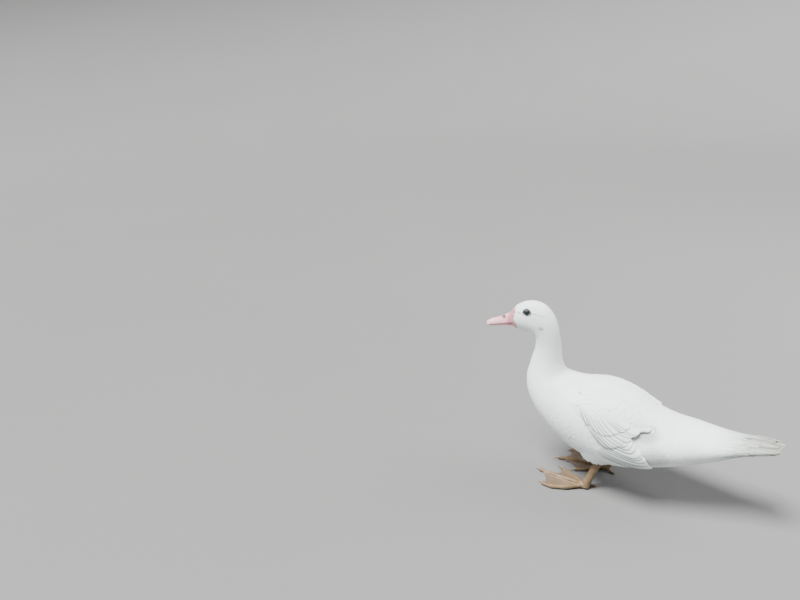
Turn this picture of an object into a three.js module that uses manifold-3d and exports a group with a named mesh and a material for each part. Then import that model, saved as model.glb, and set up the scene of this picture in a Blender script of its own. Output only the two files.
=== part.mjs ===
// A white domestic Muscovy duck, standing, at life size, in millimetres.
// The bill points along -X, the tail along +X and +Z is up. The duck's left side faces -Y.
// The origin is on the floor under the middle of the bird's length.
import * as THREE from "three";
import { mergeVertices } from "three/addons/utils/BufferGeometryUtils.js";
import Module from "manifold-3d";

const wasm = await Module();
wasm.setup();

// Driving dimensions
const GAP = 0.3; // left between nodes that touch
const BILL_TIP_X = -266;
const TAIL_TIP_X = 266;
const BODY_SIDES = 24;
const RINGS_PER_RIB = 2;
const EYE = { x: -183, y: 15.4, z: 324.5, radius: 6.1 };
const CORE_Z = 135; // height of the line inside the body that wing places are measured round
const FOOT_LEFT = { x: -38.5, y: -40, turn: 0 };
const FOOT_RIGHT = { x: -15, y: 38, turn: 0 };
const ANKLE_Z = 15;
const HOCK_Z = 50;
const HOCK_BACK = 15; // how far the hock stands behind the foot
const SHANK_RADIUS = 6.1;

// The ribs of the body, from the root of the bill to the root of the tail. Each joins a point of
// the back line to one of the belly line, and has a half width and the share of its height at
// which it is widest.
const RIBS = {
  billRoot: { back: [-216, 317.5], belly: [-211.5, 287], half: 10.2, widest: 0.5 },
  lores: { back: [-208.5, 328.5], belly: [-202.5, 283.5], half: 15.6, widest: 0.52 },
  brow: { back: [-191.5, 339.3], belly: [-186.5, 281], half: 20.3, widest: 0.54 },
  crown: { back: [-171.5, 342.8], belly: [-173.5, 278], half: 21.8, widest: 0.54 },
  hindcrown: { back: [-152.5, 336.8], belly: [-167.5, 274], half: 22, widest: 0.52 },
  nape: { back: [-137.5, 321.5], belly: [-165.5, 268], half: 21.4, widest: 0.5 },
  throat: { back: [-128, 302], belly: [-165.5, 260], half: 21, widest: 0.5 },
  upperNeck: { back: [-122, 280], belly: [-167.5, 250], half: 21, widest: 0.5 },
  midNeck: { back: [-117.5, 257], belly: [-171.5, 237], half: 23, widest: 0.5 },
  lowerNeck: { back: [-111.5, 234], belly: [-175.5, 219], half: 28, widest: 0.5 },
  neckRoot: { back: [-101, 216.5], belly: [-177.5, 196], half: 36, widest: 0.5 },
  crop: { back: [-84, 208.5], belly: [-171.5, 166], half: 47, widest: 0.52 },
  breast: { back: [-60, 207], belly: [-152.5, 132], half: 59, widest: 0.52 },
  keel: { back: [-34, 208], belly: [-118.5, 97], half: 69, widest: 0.52 },
  shoulder: { back: [-4, 206], belly: [-74.5, 69], half: 75, widest: 0.5 },
  flank: { back: [28, 196], belly: [-26.5, 56], half: 77, widest: 0.5 },
  belly: { back: [62.5, 179.5], belly: [22.5, 60], half: 74, widest: 0.5 },
  vent: { back: [97.5, 169], belly: [67.5, 74], half: 66, widest: 0.48 },
  rump: { back: [132.5, 166.5], belly: [113.5, 88.5], half: 55, widest: 0.45 },
  tailCoverts: { back: [168.5, 163], belly: [158.5, 108], half: 42, widest: 0.42 },
  tailRoot: { back: [203.5, 161], belly: [196.5, 131], half: 31, widest: 0.4 },
};
const RIB_NAMES = Object.keys(RIBS);
const ribAt = (name) => RIB_NAMES.indexOf(name);

const lerp = THREE.MathUtils.lerp;
const radians = THREE.MathUtils.degToRad;
const V = (x, y, z) => new THREE.Vector3(x, y, z);

// A smooth value between the entries of a list, at the place t in steps of one entry.
function smooth(list, t) {
  const last = list.length - 1;
  const i = Math.min(Math.floor(t), last - 1);
  const [a, b, c, d] = [i - 1, i, i + 1, i + 2].map((k) => list[THREE.MathUtils.clamp(k, 0, last)]);
  const f = t - i;
  return b + 0.5 * f * (c - a + f * (2 * a - 5 * b + 4 * c - d + f * (3 * (b - c) + d - a)));
}
const along = (list, share) => smooth(list, share * (list.length - 1));

// Closed solids

function toSolid(geometry) {
  const bare = new THREE.BufferGeometry();
  bare.setAttribute("position", geometry.getAttribute("position"));
  if (geometry.index) bare.setIndex(geometry.index);
  const merged = mergeVertices(bare, 1e-4);
  const mesh = new wasm.Mesh({
    numProp: 3,
    vertProperties: merged.attributes.position.array,
    triVerts: new Uint32Array(merged.index.array),
  });
  return new wasm.Manifold(mesh);
}

function toGeometry(solid) {
  const mesh = solid.getMesh();
  const geometry = new THREE.BufferGeometry();
  geometry.setAttribute("position", new THREE.BufferAttribute(mesh.vertProperties.slice(), 3));
  geometry.setIndex(new THREE.BufferAttribute(mesh.triVerts.slice(), 1));
  return geometry;
}

const largest = (solid) =>
  solid.decompose().reduce((a, b) => (b.volume() > a.volume() ? b : a));
const join = (solids) => solids.reduce((a, b) => a.add(b));

// Skins a row of rings that all have the same number of points, and closes both ends.
function loft(rings) {
  const sides = rings[0].length;
  const points = rings.flat();
  const faces = [];
  const middle = (ring) => ring.reduce((a, p) => a.add(p), V(0, 0, 0)).divideScalar(sides);
  for (let i = 0; i < rings.length - 1; i++) {
    for (let k = 0; k < sides; k++) {
      const next = (k + 1) % sides;
      const [a, b, c, d] = [i * sides + k, i * sides + next, (i + 1) * sides + next, (i + 1) * sides + k];
      faces.push(a, b, c, a, c, d);
    }
  }
  const end = (rings.length - 1) * sides;
  points.push(middle(rings[0]), middle(rings[rings.length - 1]));
  for (let k = 0; k < sides; k++) {
    const next = (k + 1) % sides;
    faces.push(points.length - 2, next, k, points.length - 1, end + k, end + next);
  }
  const geometry = new THREE.BufferGeometry().setFromPoints(points);
  geometry.setIndex(faces);
  const solid = toSolid(geometry);
  if (solid.volume() > 0) return solid;
  const turned = [];
  for (let i = 0; i < faces.length; i += 3) turned.push(faces[i], faces[i + 2], faces[i + 1]);
  geometry.setIndex(turned);
  return toSolid(geometry);
}

function box(low, high) {
  const size = high.clone().sub(low);
  const middle = low.clone().add(high).multiplyScalar(0.5);
  return toSolid(new THREE.BoxGeometry(size.x, size.y, size.z).translate(middle.x, middle.y, middle.z));
}

function ball(centre, radii, widthSegments = 12, heightSegments = 8) {
  const geometry = new THREE.SphereGeometry(1, widthSegments, heightSegments);
  geometry.scale(radii.x, radii.y, radii.z).translate(centre.x, centre.y, centre.z);
  return toSolid(geometry);
}

// The body

// One ring of the body at a place t along the ribs, grown outwards by extra and moved by shift
// across its own plane.
function bodyRing(t, extra = 0, shift = 0) {
  const value = (read) => smooth(RIB_NAMES.map((name) => read(RIBS[name])), t);
  const back = V(value((r) => r.back[0]), 0, value((r) => r.back[1]));
  const belly = V(value((r) => r.belly[0]), 0, value((r) => r.belly[1]));
  const half = value((r) => r.half) + extra;
  const widest = value((r) => r.widest);
  const down = belly.clone().sub(back);
  const height = down.length() + 2 * extra;
  down.normalize();
  back.addScaledVector(down, -extra);
  const onward = V(-down.z, 0, down.x).multiplyScalar(shift);
  const ring = [];
  for (let k = 0; k < BODY_SIDES; k++) {
    const turn = (2 * Math.PI * k) / BODY_SIDES;
    const reach = Math.cos(turn) > 0 ? widest : 1 - widest;
    const depth = height * (widest - reach * Math.cos(turn));
    ring.push(back.clone().addScaledVector(down, depth).add(onward).setY(half * Math.sin(turn)));
  }
  return ring;
}

// The stretch of the body between two ribs, set back at each cut end by half the gap.
function bodyPiece(from, to, extra = 0) {
  const steps = Math.round((to - from) * RINGS_PER_RIB);
  const rings = [];
  for (let i = 0; i <= steps; i++) {
    const shift = i === 0 ? GAP / 2 : i === steps ? -GAP / 2 : 0;
    rings.push(bodyRing(lerp(from, to, i / steps), extra, shift));
  }
  return loft(rings);
}

const wholeBody = bodyPiece(0, RIB_NAMES.length - 1);
const bodyClearance = bodyPiece(0, RIB_NAMES.length - 1, GAP * 1.3);
const bodyTarget = new THREE.Mesh(
  toGeometry(wholeBody),
  new THREE.MeshBasicMaterial({ side: THREE.DoubleSide }),
);
const caster = new THREE.Raycaster();

// The point of the body's surface at length x and at an angle round its core, 0 at the back and
// 90 at the side, raised by height. side is -1 for the left.
function onBody(x, angle, height, side) {
  const turn = radians(angle);
  const out = V(0, side * Math.sin(turn), Math.cos(turn));
  caster.set(V(x, 0, CORE_Z), out);
  const hit = caster.intersectObject(bodyTarget)[0];
  return hit.point.addScaledVector(out, height);
}

// Feathers

// One feather: a plate with a raised shaft, from its root to its tip, that faces up and bows
// towards up by bow. roll lifts its left edge, in degrees.
function vane({ root, tip, up, width, ...form }) {
  const { thickness = 0.9, bow = 0, roll = 0, blunt = 0.5, steps = 4, shaft = true } = form;
  const ahead = tip.clone().sub(root).normalize();
  const side = up.clone().cross(ahead).normalize().applyAxisAngle(ahead, radians(roll));
  const top = ahead.clone().cross(side).normalize();
  const outline = [0.5, 0.86, 1, 0.98, 0.84, blunt];
  const rings = [];
  for (let i = 0; i <= steps; i++) {
    const share = i / steps;
    const middle = root.clone().lerp(tip, share).addScaledVector(up, bow * 4 * share * (1 - share));
    const half = 0.5 * width * along(outline, share);
    const thick = lerp(thickness, 0.55, share);
    const at = (across, rise) =>
      middle.clone().addScaledVector(side, across * half).addScaledVector(top, rise);
    const ridge = shaft ? [at(0, thick)] : [];
    rings.push([at(-1, -thick / 2), at(1, -thick / 2), at(1, thick / 2), ...ridge, at(-1, thick / 2)]);
  }
  return loft(rings);
}

// A feather of the wing, between two places given as a length, an angle and a height.
function wingFeather(side, from, to, options) {
  const root = onBody(...from, side);
  const tip = onBody(...to, side);
  const middle = onBody((from[0] + to[0]) / 2, (from[1] + to[1]) / 2, (from[2] + to[2]) / 2, side);
  const up = middle.clone().setX(0).sub(V(0, 0, CORE_Z)).normalize();
  const bow = middle.clone().sub(root.clone().lerp(tip, 0.5)).dot(up);
  return vane({ root, tip, up, bow, ...options, roll: side * (options.roll || 0) });
}

// The coverts and shoulder feathers as one smooth leaf that lies on the body.
const LEAF = {
  from: -81,
  to: 66,
  upperEdge: [38, 26, 21, 18, 20, 28, 42, 54],
  lowerEdge: [52, 64, 72, 79, 82, 74, 63, 58],
  height: 6.5,
  edge: 1.2,
  sunk: -0.8,
};

function wingLeaf(side) {
  const [steps, sides] = [12, 7];
  const rings = [];
  for (let i = 0; i <= steps; i++) {
    const share = i / steps;
    const x = lerp(LEAF.from, LEAF.to, share);
    const [upper, lower] = [along(LEAF.upperEdge, share), along(LEAF.lowerEdge, share)];
    const swell = Math.pow(Math.sin(Math.PI * lerp(0.06, 0.9, share)), 0.6);
    const row = (lift) =>
      Array.from({ length: sides + 1 }, (_, k) => {
        const across = k / sides;
        const crown = Math.pow(Math.sin(Math.PI * lerp(0.05, 0.95, across)), 0.7);
        const height = lift ? LEAF.edge + LEAF.height * swell * crown : LEAF.sunk;
        return onBody(x, lerp(upper, lower, across), height, side);
      });
    rings.push([...row(true), ...row(false).reverse()]);
  }
  return loft(rings);
}

// The tiers of the wing's feathers. Each runs from its lowest or foremost feather to its highest
// or rearmost one, with a root and a tip given as a length, an angle and a height.
const WING_TIERS = [
  {
    name: "flight feathers",
    count: 8,
    width: [15, 18],
    root: [[-26, 101, 1.5], [-12, 92, 2], [4, 78, 3]],
    tip: [[68, 114, 2], [60, 97, 3.2], [22, 76, 4.5]],
  },
  {
    name: "greater coverts",
    count: 7,
    plain: true,
    width: [15, 15],
    root: [[-40, 72, 4], [-20, 74, 5], [6, 62, 6]],
    tip: [[0, 95, 3.5], [20, 88, 5.5], [42, 68, 6]],
  },
  {
    name: "median coverts",
    count: 6,
    plain: true,
    width: [15, 15],
    root: [[-60, 50, 5.2], [-36, 58, 6.6], [-8, 54, 7]],
    tip: [[-38, 70, 4.5], [-6, 80, 6.4], [26, 66, 7.4]],
  },
  {
    name: "tertials and long shoulder feathers",
    count: 5,
    width: [22, 22],
    root: [[-4, 58, 6], [-4, 46, 6.2], [-14, 28, 4.8]],
    tip: [[56, 61, 3.5], [64, 56, 2.6], [30, 36, 2]],
  },
];

function wing(side) {
  const pieces = [wingLeaf(side)];
  for (const tier of WING_TIERS) {
    for (let i = 0; i < tier.count; i++) {
      const rank = i / (tier.count - 1);
      const place = (ends) => [0, 1, 2].map((axis) => along(ends.map((end) => end[axis]), rank));
      const vary = 1 + 0.12 * Math.sin(7.3 * i + tier.count);
      const [root, tip] = [place(tier.root), place(tier.tip)];
      tip[0] += 3 * (vary - 1) * 8;
      const form = tier.plain ? { shaft: false, steps: 3 } : {};
      const width = lerp(...tier.width, rank);
      pieces.push(wingFeather(side, root, tip, { width, roll: 8, blunt: 0.6, ...form }));
    }
  }
  return largest(join(pieces).subtract(bodyClearance));
}

// The tail's feathers fan out from a point inside the rump, in tiers.
const TAIL = { pivotX: 110, rootX: 172, rootZ: 152, tipZ: 167, pairs: 9, spread: 10.5, coverts: 7 };

function tailFeather({ angle, rootX, tipX, rootZ, tipZ, up = V(0, 0, 1), ...form }) {
  const turn = radians(angle);
  const at = (x, z) => V(x, Math.tan(turn) * (x - TAIL.pivotX), z);
  return vane({ root: at(rootX, rootZ), tip: at(tipX, tipZ), up, steps: 3, ...form });
}

function tail() {
  const pieces = [bodyPiece(ribAt("rump"), RIB_NAMES.length - 1)];
  for (const side of [-1, 1]) {
    for (let i = 0; i < TAIL.pairs; i++) {
      const rank = (i + 0.5) / TAIL.pairs;
      const drop = 13 * rank * rank;
      pieces.push(
        tailFeather({
          angle: side * TAIL.spread * rank,
          rootX: TAIL.rootX,
          tipX: TAIL_TIP_X - 0.3 - 26 * Math.pow(rank, 1.6),
          rootZ: TAIL.rootZ - drop / 2,
          tipZ: TAIL.tipZ - drop,
          width: 14,
          roll: -side * 7,
        }),
      );
    }
  }
  // The coverts above and below the tail.
  const form = { thickness: 1.4, shaft: false };
  for (let i = 0; i < TAIL.coverts; i++) {
    const rank = (2 * i) / (TAIL.coverts - 1) - 1;
    const fall = rank * rank;
    const above = { rootX: 158, tipX: 222 - 14 * fall, rootZ: 158 - 12 * fall, tipZ: 163 - 11 * fall };
    const below = { rootX: 150, tipX: 213 - 14 * fall, rootZ: 116 + 14 * fall, tipZ: 135 + 8 * fall };
    pieces.push(
      tailFeather({ angle: 13 * rank, ...above, width: 17, ...form }),
      tailFeather({ angle: 14 * rank, ...below, width: 19, up: V(0, 0, -1), ...form }),
    );
  }
  return largest(join(pieces));
}

// The head

const BILL = {
  // Along the bill from its root to its tip: the ridge, the line of the mouth and the underside.
  length: 50,
  ridge: [317.5, 311.5, 305.2, 299.8, 295.4, 291.6, 287.2],
  mouth: [293.5, 291.3, 289, 287, 284.8, 282.2, 279.4],
  under: [287, 285.2, 283.4, 281.6, 280, 278.8, 278],
  half: [9.8, 9.6, 9.3, 9.5, 10.1, 10.3, 7.2],
};
const BILL_ROOT_X = BILL_TIP_X + BILL.length;

function upperBill() {
  const [steps, arc] = [10, 8];
  const rings = [];
  for (let i = 0; i <= steps; i++) {
    const share = i / steps;
    const x = lerp(BILL_ROOT_X - GAP, BILL_TIP_X, Math.pow(share, 0.85));
    const [ridge, mouth, half] = [BILL.ridge, BILL.mouth, BILL.half].map((list) => along(list, share));
    const end = share > 0.9 ? Math.sqrt(1 - Math.pow((share - 0.9) / 0.115, 2)) : 1;
    const ring = [];
    for (let k = 0; k <= arc; k++) {
      const turn = (Math.PI * k) / arc;
      const rise = Math.pow(Math.sin(turn), lerp(1.25, 0.8, share));
      ring.push(V(x, half * end * Math.cos(turn), lerp(mouth + GAP / 2, ridge, 0.08 + 0.92 * rise)));
    }
    const edge = half * end * 0.9;
    ring.push(V(x, -edge, mouth + GAP / 2), V(x, 0, mouth + 1), V(x, edge, mouth + GAP / 2));
    rings.push(ring);
  }
  const nail = ball(V(BILL_TIP_X + 4.6, 0, 284.2), V(4.6, 5, 4.2), 12, 8);
  const nostrils = [-1, 1].map((side) => ball(V(-231.5, side * 6.2, 303), V(3.2, 3, 1.6), 12, 8));
  const mouth = join([lowerBill(), lowerBill(GAP)]);
  return largest(join([loft(rings), nail]).subtract(join([...nostrils, mouth])));
}

// The lower half of the bill, raised by lift.
function lowerBill(lift = 0) {
  const [steps, arc] = [12, 8];
  const rings = [];
  for (let i = 0; i <= steps; i++) {
    const share = i / steps;
    const x = lerp(BILL_ROOT_X - GAP, BILL_TIP_X + 4.5, share);
    const lists = [BILL.mouth, BILL.under, BILL.half];
    const [mouth, under, half] = lists.map((list) => along(list, share * 0.93));
    const end = share > 0.85 ? Math.sqrt(1 - Math.pow((share - 0.85) / 0.16, 2)) : 1;
    const ring = [];
    for (let k = 0; k <= arc; k++) {
      const turn = (Math.PI * k) / arc;
      const z = lerp(mouth - GAP, under - 0.4, Math.pow(Math.sin(turn), 0.7));
      ring.push(V(x, half * 0.9 * end * Math.cos(turn), z + lift));
    }
    rings.push(ring);
  }
  return largest(loft(rings));
}

// The bare skin round the root of the bill, with its bulbs.
const FACE_END = 1; // how far back the bare skin reaches, in ribs
const BULB_ROWS = 2;
const BULBS_A_ROW = 5;

function faceSkin() {
  const steps = 5;
  const rings = [];
  for (let i = 0; i <= steps; i++) {
    const shift = i === 0 ? GAP / 2 : i === steps ? -GAP / 2 : 0;
    rings.push(bodyRing((FACE_END * i) / steps, 0.2, shift));
  }
  const pieces = [loft(rings)];
  for (let row = 0; row < BULB_ROWS; row++) {
    for (let k = 0; k < BULBS_A_ROW; k++) {
      const ring = bodyRing(lerp(0.28, FACE_END - 0.28, row / (BULB_ROWS - 1)), -0.5);
      const place = ((k + (row % 2) / 2) / (BULBS_A_ROW - 0.5)) * 1.1 - 0.55;
      const spot = ring[(Math.round(place * 0.72 * BODY_SIDES) + BODY_SIDES) % BODY_SIDES];
      const size = 1.5 + 0.5 * Math.sin(5 * k + 3 * row);
      pieces.push(ball(spot, V(size, size, size), 6, 4));
    }
  }
  return largest(join(pieces));
}

// The lids are a raised rim round the eye, which sits in a socket.
function head() {
  const skull = bodyPiece(FACE_END, ribAt("throat") - 0.5);
  const rims = [];
  const sockets = [];
  for (const side of [-1, 1]) {
    const rim = new THREE.TorusGeometry(5.6, 1.15, 5, 16);
    rim.scale(1.08, 0.92, 1).rotateX(Math.PI / 2).rotateZ(side * radians(-9));
    rim.translate(EYE.x, side * (EYE.y + 3.8), EYE.z);
    rims.push(toSolid(rim));
    const clear = EYE.radius + GAP;
    sockets.push(ball(V(EYE.x, side * EYE.y, EYE.z), V(clear, clear, clear), 14, 10));
  }
  return largest(join([skull, ...rims]).subtract(join(sockets)));
}

// Legs and feet

// One toe: how it leaves the foot, as an angle to the foot's own line and a distance, then the angle
// and length of its end. The outer side is positive.
const TOES = {
  outer: { rootAngle: 40, rootReach: 64, tipAngle: 21, length: 79, radius: 4.6 },
  middle: { rootAngle: -3, rootReach: 48, tipAngle: -7, length: 91, radius: 4.6 },
  inner: { rootAngle: -40, rootReach: 38, tipAngle: -34, length: 63, radius: 4.2 },
  hind: { rootAngle: -135, rootReach: 12, tipAngle: -150, length: 22, radius: 3 },
};
const CLAW_LENGTH = 10;

// The foot's own axes: it points along -X, with side for the outer side, turned about its root.
function footPoint(foot, side, ahead, out, z) {
  const point = V(-ahead, side * out, z).applyAxisAngle(V(0, 0, 1), radians(foot.turn));
  return point.add(V(foot.x, foot.y, 0));
}

function toeLine(foot, side, toe) {
  const at = (distance, angle, z) =>
    footPoint(foot, side, distance * Math.cos(radians(angle)), distance * Math.sin(radians(angle)), z);
  const start = at(0, 0, toe === TOES.hind ? 8 : 7);
  return new THREE.QuadraticBezierCurve3(
    start,
    at(toe.rootReach, toe.rootAngle, toe.radius * 0.8),
    at(toe.length, toe.tipAngle, toe.radius * 0.62),
  );
}

function tube(curve, radiusAt, steps, sides = 6) {
  const rings = [];
  for (let i = 0; i <= steps; i++) {
    const share = i / steps;
    const middle = curve.getPoint(share);
    const ahead = curve.getTangent(share);
    const across = V(0, 0, 1).cross(ahead).normalize();
    const top = ahead.clone().cross(across);
    const radius = radiusAt(share);
    rings.push(
      Array.from({ length: sides }, (_, k) => {
        const turn = (2 * Math.PI * (k + 0.5)) / sides;
        return middle
          .clone()
          .addScaledVector(across, radius * Math.cos(turn))
          .addScaledVector(top, radius * Math.sin(turn));
      }),
    );
  }
  return loft(rings);
}

// The toe swells at its joints and is cut flat where it treads.
function toeSolid(foot, side, toe) {
  const swell = (share) => 1 + 0.13 * Math.cos(share * 6 * Math.PI) - 0.22 * share;
  return tube(toeLine(foot, side, toe), (share) => toe.radius * swell(share), 6);
}

// The web is a thin sheet between two toes, with a scooped front edge.
function web(foot, side, first, second, scooped) {
  const [lineA, lineB] = [toeLine(foot, side, first), toeLine(foot, side, second)];
  const [steps, across, thick] = [4, 4, 1.1];
  const rings = [];
  for (let i = 0; i <= steps; i++) {
    const share = lerp(0.1, 0.93, i / steps);
    const row = (low) =>
      Array.from({ length: across + 1 }, (_, k) => {
        const f = k / across;
        const scoop = 1 - scooped * Math.sin(Math.PI * f) * Math.pow(i / steps, 3);
        const point = lineA.getPoint(share * scoop).lerp(lineB.getPoint(share * scoop), f);
        const sag = 1.1 * Math.sin(Math.PI * f);
        return point.setZ(Math.max(point.z - sag - 0.8, 0.35) + (low ? 0 : thick));
      });
    rings.push([...row(true), ...row(false).reverse()]);
  }
  return loft(rings);
}

function clawSolid(foot, side, toe, extra = 0) {
  const line = toeLine(foot, side, toe);
  const start = line.getPoint(1).setZ(toe.radius * 0.85);
  const ahead = line.getTangent(1).setZ(0).normalize();
  const scale = toe === TOES.hind ? 0.6 : 1;
  const length = CLAW_LENGTH * scale;
  start.addScaledVector(ahead, -2.5);
  const curve = new THREE.QuadraticBezierCurve3(
    start,
    start.clone().addScaledVector(ahead, length * 0.6).add(V(0, 0, 1.2)),
    start.clone().addScaledVector(ahead, length + 2.5).setZ(1),
  );
  return tube(curve, (share) => scale * lerp(2.3, 0.45, share) + extra, 4, 5);
}

const aboveFloor = box(V(-400, -200, 0), V(400, 200, 60));

function foot(place, side) {
  const toes = Object.values(TOES).map((toe) => toeSolid(place, side, toe));
  const webs = [
    web(place, side, TOES.outer, TOES.middle, 0.14),
    web(place, side, TOES.middle, TOES.inner, 0.26),
  ];
  const pad = ball(footPoint(place, side, 3, 0, 6), V(12.5, 9.5, 8), 10, 6);
  const ankle = tube(
    new THREE.LineCurve3(footPoint(place, side, 0, 0, 5), footPoint(place, side, -2.6, 0, ANKLE_Z + 3)),
    (share) => lerp(9, SHANK_RADIUS + 0.8, share),
    2,
    10,
  );
  const claws = Object.values(TOES).map((toe) => clawSolid(place, side, toe, GAP));
  const belowAnkle = box(V(-400, -200, 0), V(400, 200, ANKLE_Z));
  return largest(join([...toes, ...webs, pad, ankle]).subtract(join(claws)).intersect(belowAnkle));
}

function claw(place, side, toe) {
  const clear = box(V(-400, -200, GAP), V(400, 200, 60));
  return largest(clawSolid(place, side, toe).intersect(clear));
}

// The shank leans back from the foot to the hock.
function shankLine(place, side, low, high) {
  const lean = (z) => footPoint(place, side, -HOCK_BACK * ((z - 3) / (HOCK_Z - 3)), 0, z);
  return new THREE.LineCurve3(lean(low), lean(high));
}

function shank(place, side) {
  const bar = tube(
    shankLine(place, side, ANKLE_Z - 6, HOCK_Z + 6),
    (share) => SHANK_RADIUS * (1 + 0.5 * Math.pow(2 * share - 1, 4)),
    5,
    10,
  );
  return largest(bar.intersect(box(V(-400, -200, ANKLE_Z + GAP), V(400, 200, HOCK_Z))));
}

// The feathered thigh comes out of the belly and ends at the hock.
function thigh(place, side) {
  const hock = footPoint(place, side, -HOCK_BACK, 0, HOCK_Z);
  const hip = V(hock.x - 2, hock.y * 1.02, 112);
  const rings = [];
  const steps = 8;
  for (let i = 0; i <= steps; i++) {
    const share = i / steps;
    const middle = hock.clone().setZ(HOCK_Z + GAP).lerp(hip, share);
    const reach = lerp(9.5, 34, Math.pow(Math.sin((share * Math.PI) / 2), 1.15));
    rings.push(
      Array.from({ length: 12 }, (_, k) => {
        const turn = (2 * Math.PI * k) / 12;
        return middle.clone().add(V(reach * 1.2 * Math.cos(turn), reach * 0.8 * Math.sin(turn), 0));
      }),
    );
  }
  return largest(loft(rings).subtract(bodyClearance));
}

// The finished bird

const MATERIALS = {
  plumage: new THREE.MeshStandardMaterial({ color: 0xf1f3f0, roughness: 0.85, metalness: 0 }),
  quills: new THREE.MeshStandardMaterial({ color: 0xe9e9e1, roughness: 0.8, metalness: 0 }),
  bill: new THREE.MeshStandardMaterial({ color: 0xe3b8b4, roughness: 0.5, metalness: 0 }),
  caruncle: new THREE.MeshStandardMaterial({ color: 0xcf8f8f, roughness: 0.55, metalness: 0 }),
  eye: new THREE.MeshStandardMaterial({ color: 0x4a545c, roughness: 0.1, metalness: 0 }),
  leg: new THREE.MeshStandardMaterial({ color: 0xd2a06c, roughness: 0.55, metalness: 0 }),
  claw: new THREE.MeshStandardMaterial({ color: 0xd9c8b4, roughness: 0.5, metalness: 0 }),
};

const duck = new THREE.Group();
duck.name = "muscovy_duck";

function addNode(name, solid, material) {
  const mesh = new THREE.Mesh(toGeometry(solid), MATERIALS[material]);
  mesh.name = name;
  duck.add(mesh);
}

addNode("bill_upper", upperBill(), "bill");
addNode("bill_lower", lowerBill(), "bill");
addNode("face_skin", faceSkin(), "caruncle");
addNode("head", head(), "plumage");

const CUTS = [
  ["neck_upper", ribAt("throat") - 0.5, ribAt("midNeck")],
  ["neck_lower", ribAt("midNeck"), ribAt("neckRoot")],
  ["breast", ribAt("neckRoot"), ribAt("keel")],
  ["torso", ribAt("keel"), ribAt("belly")],
  ["rump", ribAt("belly"), ribAt("rump")],
];
for (const [name, from, to] of CUTS) addNode(name, bodyPiece(from, to), "plumage");
addNode("tail", tail(), "quills");

const SIDES = { left: [-1, FOOT_LEFT], right: [1, FOOT_RIGHT] };
for (const [label, [side, place]] of Object.entries(SIDES)) {
  const eye = V(EYE.x, side * EYE.y, EYE.z);
  addNode("eye_" + label, ball(eye, V(EYE.radius, EYE.radius, EYE.radius), 14, 10), "eye");
  addNode("wing_" + label, wing(side), "quills");
  addNode("thigh_" + label, thigh(place, side), "plumage");
  addNode("shank_" + label, shank(place, side), "leg");
  addNode("foot_" + label, foot(place, side), "leg");
  for (const [toeName, toe] of Object.entries(TOES)) {
    addNode("claw_" + label + "_" + toeName, claw(place, side, toe), "claw");
  }
}

export default duck;
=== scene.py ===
import math
from collections import namedtuple

import bpy
import numpy as np
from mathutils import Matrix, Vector
from mathutils.bvhtree import BVHTree


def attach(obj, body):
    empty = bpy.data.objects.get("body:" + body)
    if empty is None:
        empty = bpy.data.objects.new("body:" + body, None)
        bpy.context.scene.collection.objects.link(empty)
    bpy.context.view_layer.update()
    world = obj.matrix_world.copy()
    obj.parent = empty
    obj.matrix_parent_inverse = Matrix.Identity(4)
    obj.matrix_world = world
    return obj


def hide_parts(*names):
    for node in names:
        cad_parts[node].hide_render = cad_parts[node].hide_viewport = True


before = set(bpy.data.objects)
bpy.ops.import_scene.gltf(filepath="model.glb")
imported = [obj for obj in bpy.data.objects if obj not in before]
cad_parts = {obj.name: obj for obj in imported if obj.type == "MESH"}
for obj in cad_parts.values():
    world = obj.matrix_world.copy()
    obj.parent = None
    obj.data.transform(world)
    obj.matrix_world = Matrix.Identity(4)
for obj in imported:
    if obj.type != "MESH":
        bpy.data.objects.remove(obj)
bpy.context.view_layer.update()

bl_info = {
    "name": "Muscovy duck",
    "version": (1, 0, 0),
    "blender": (4, 5, 0),
    "location": "View3D > Sidebar > Duck",
    "description": "Dresses the solids of a white Muscovy duck in skin, feathers, horn and scales",
    "category": "Object",
}

# All sizes are in metres, in the frame of the solids: the bill points along -X and +Z is up.

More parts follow.
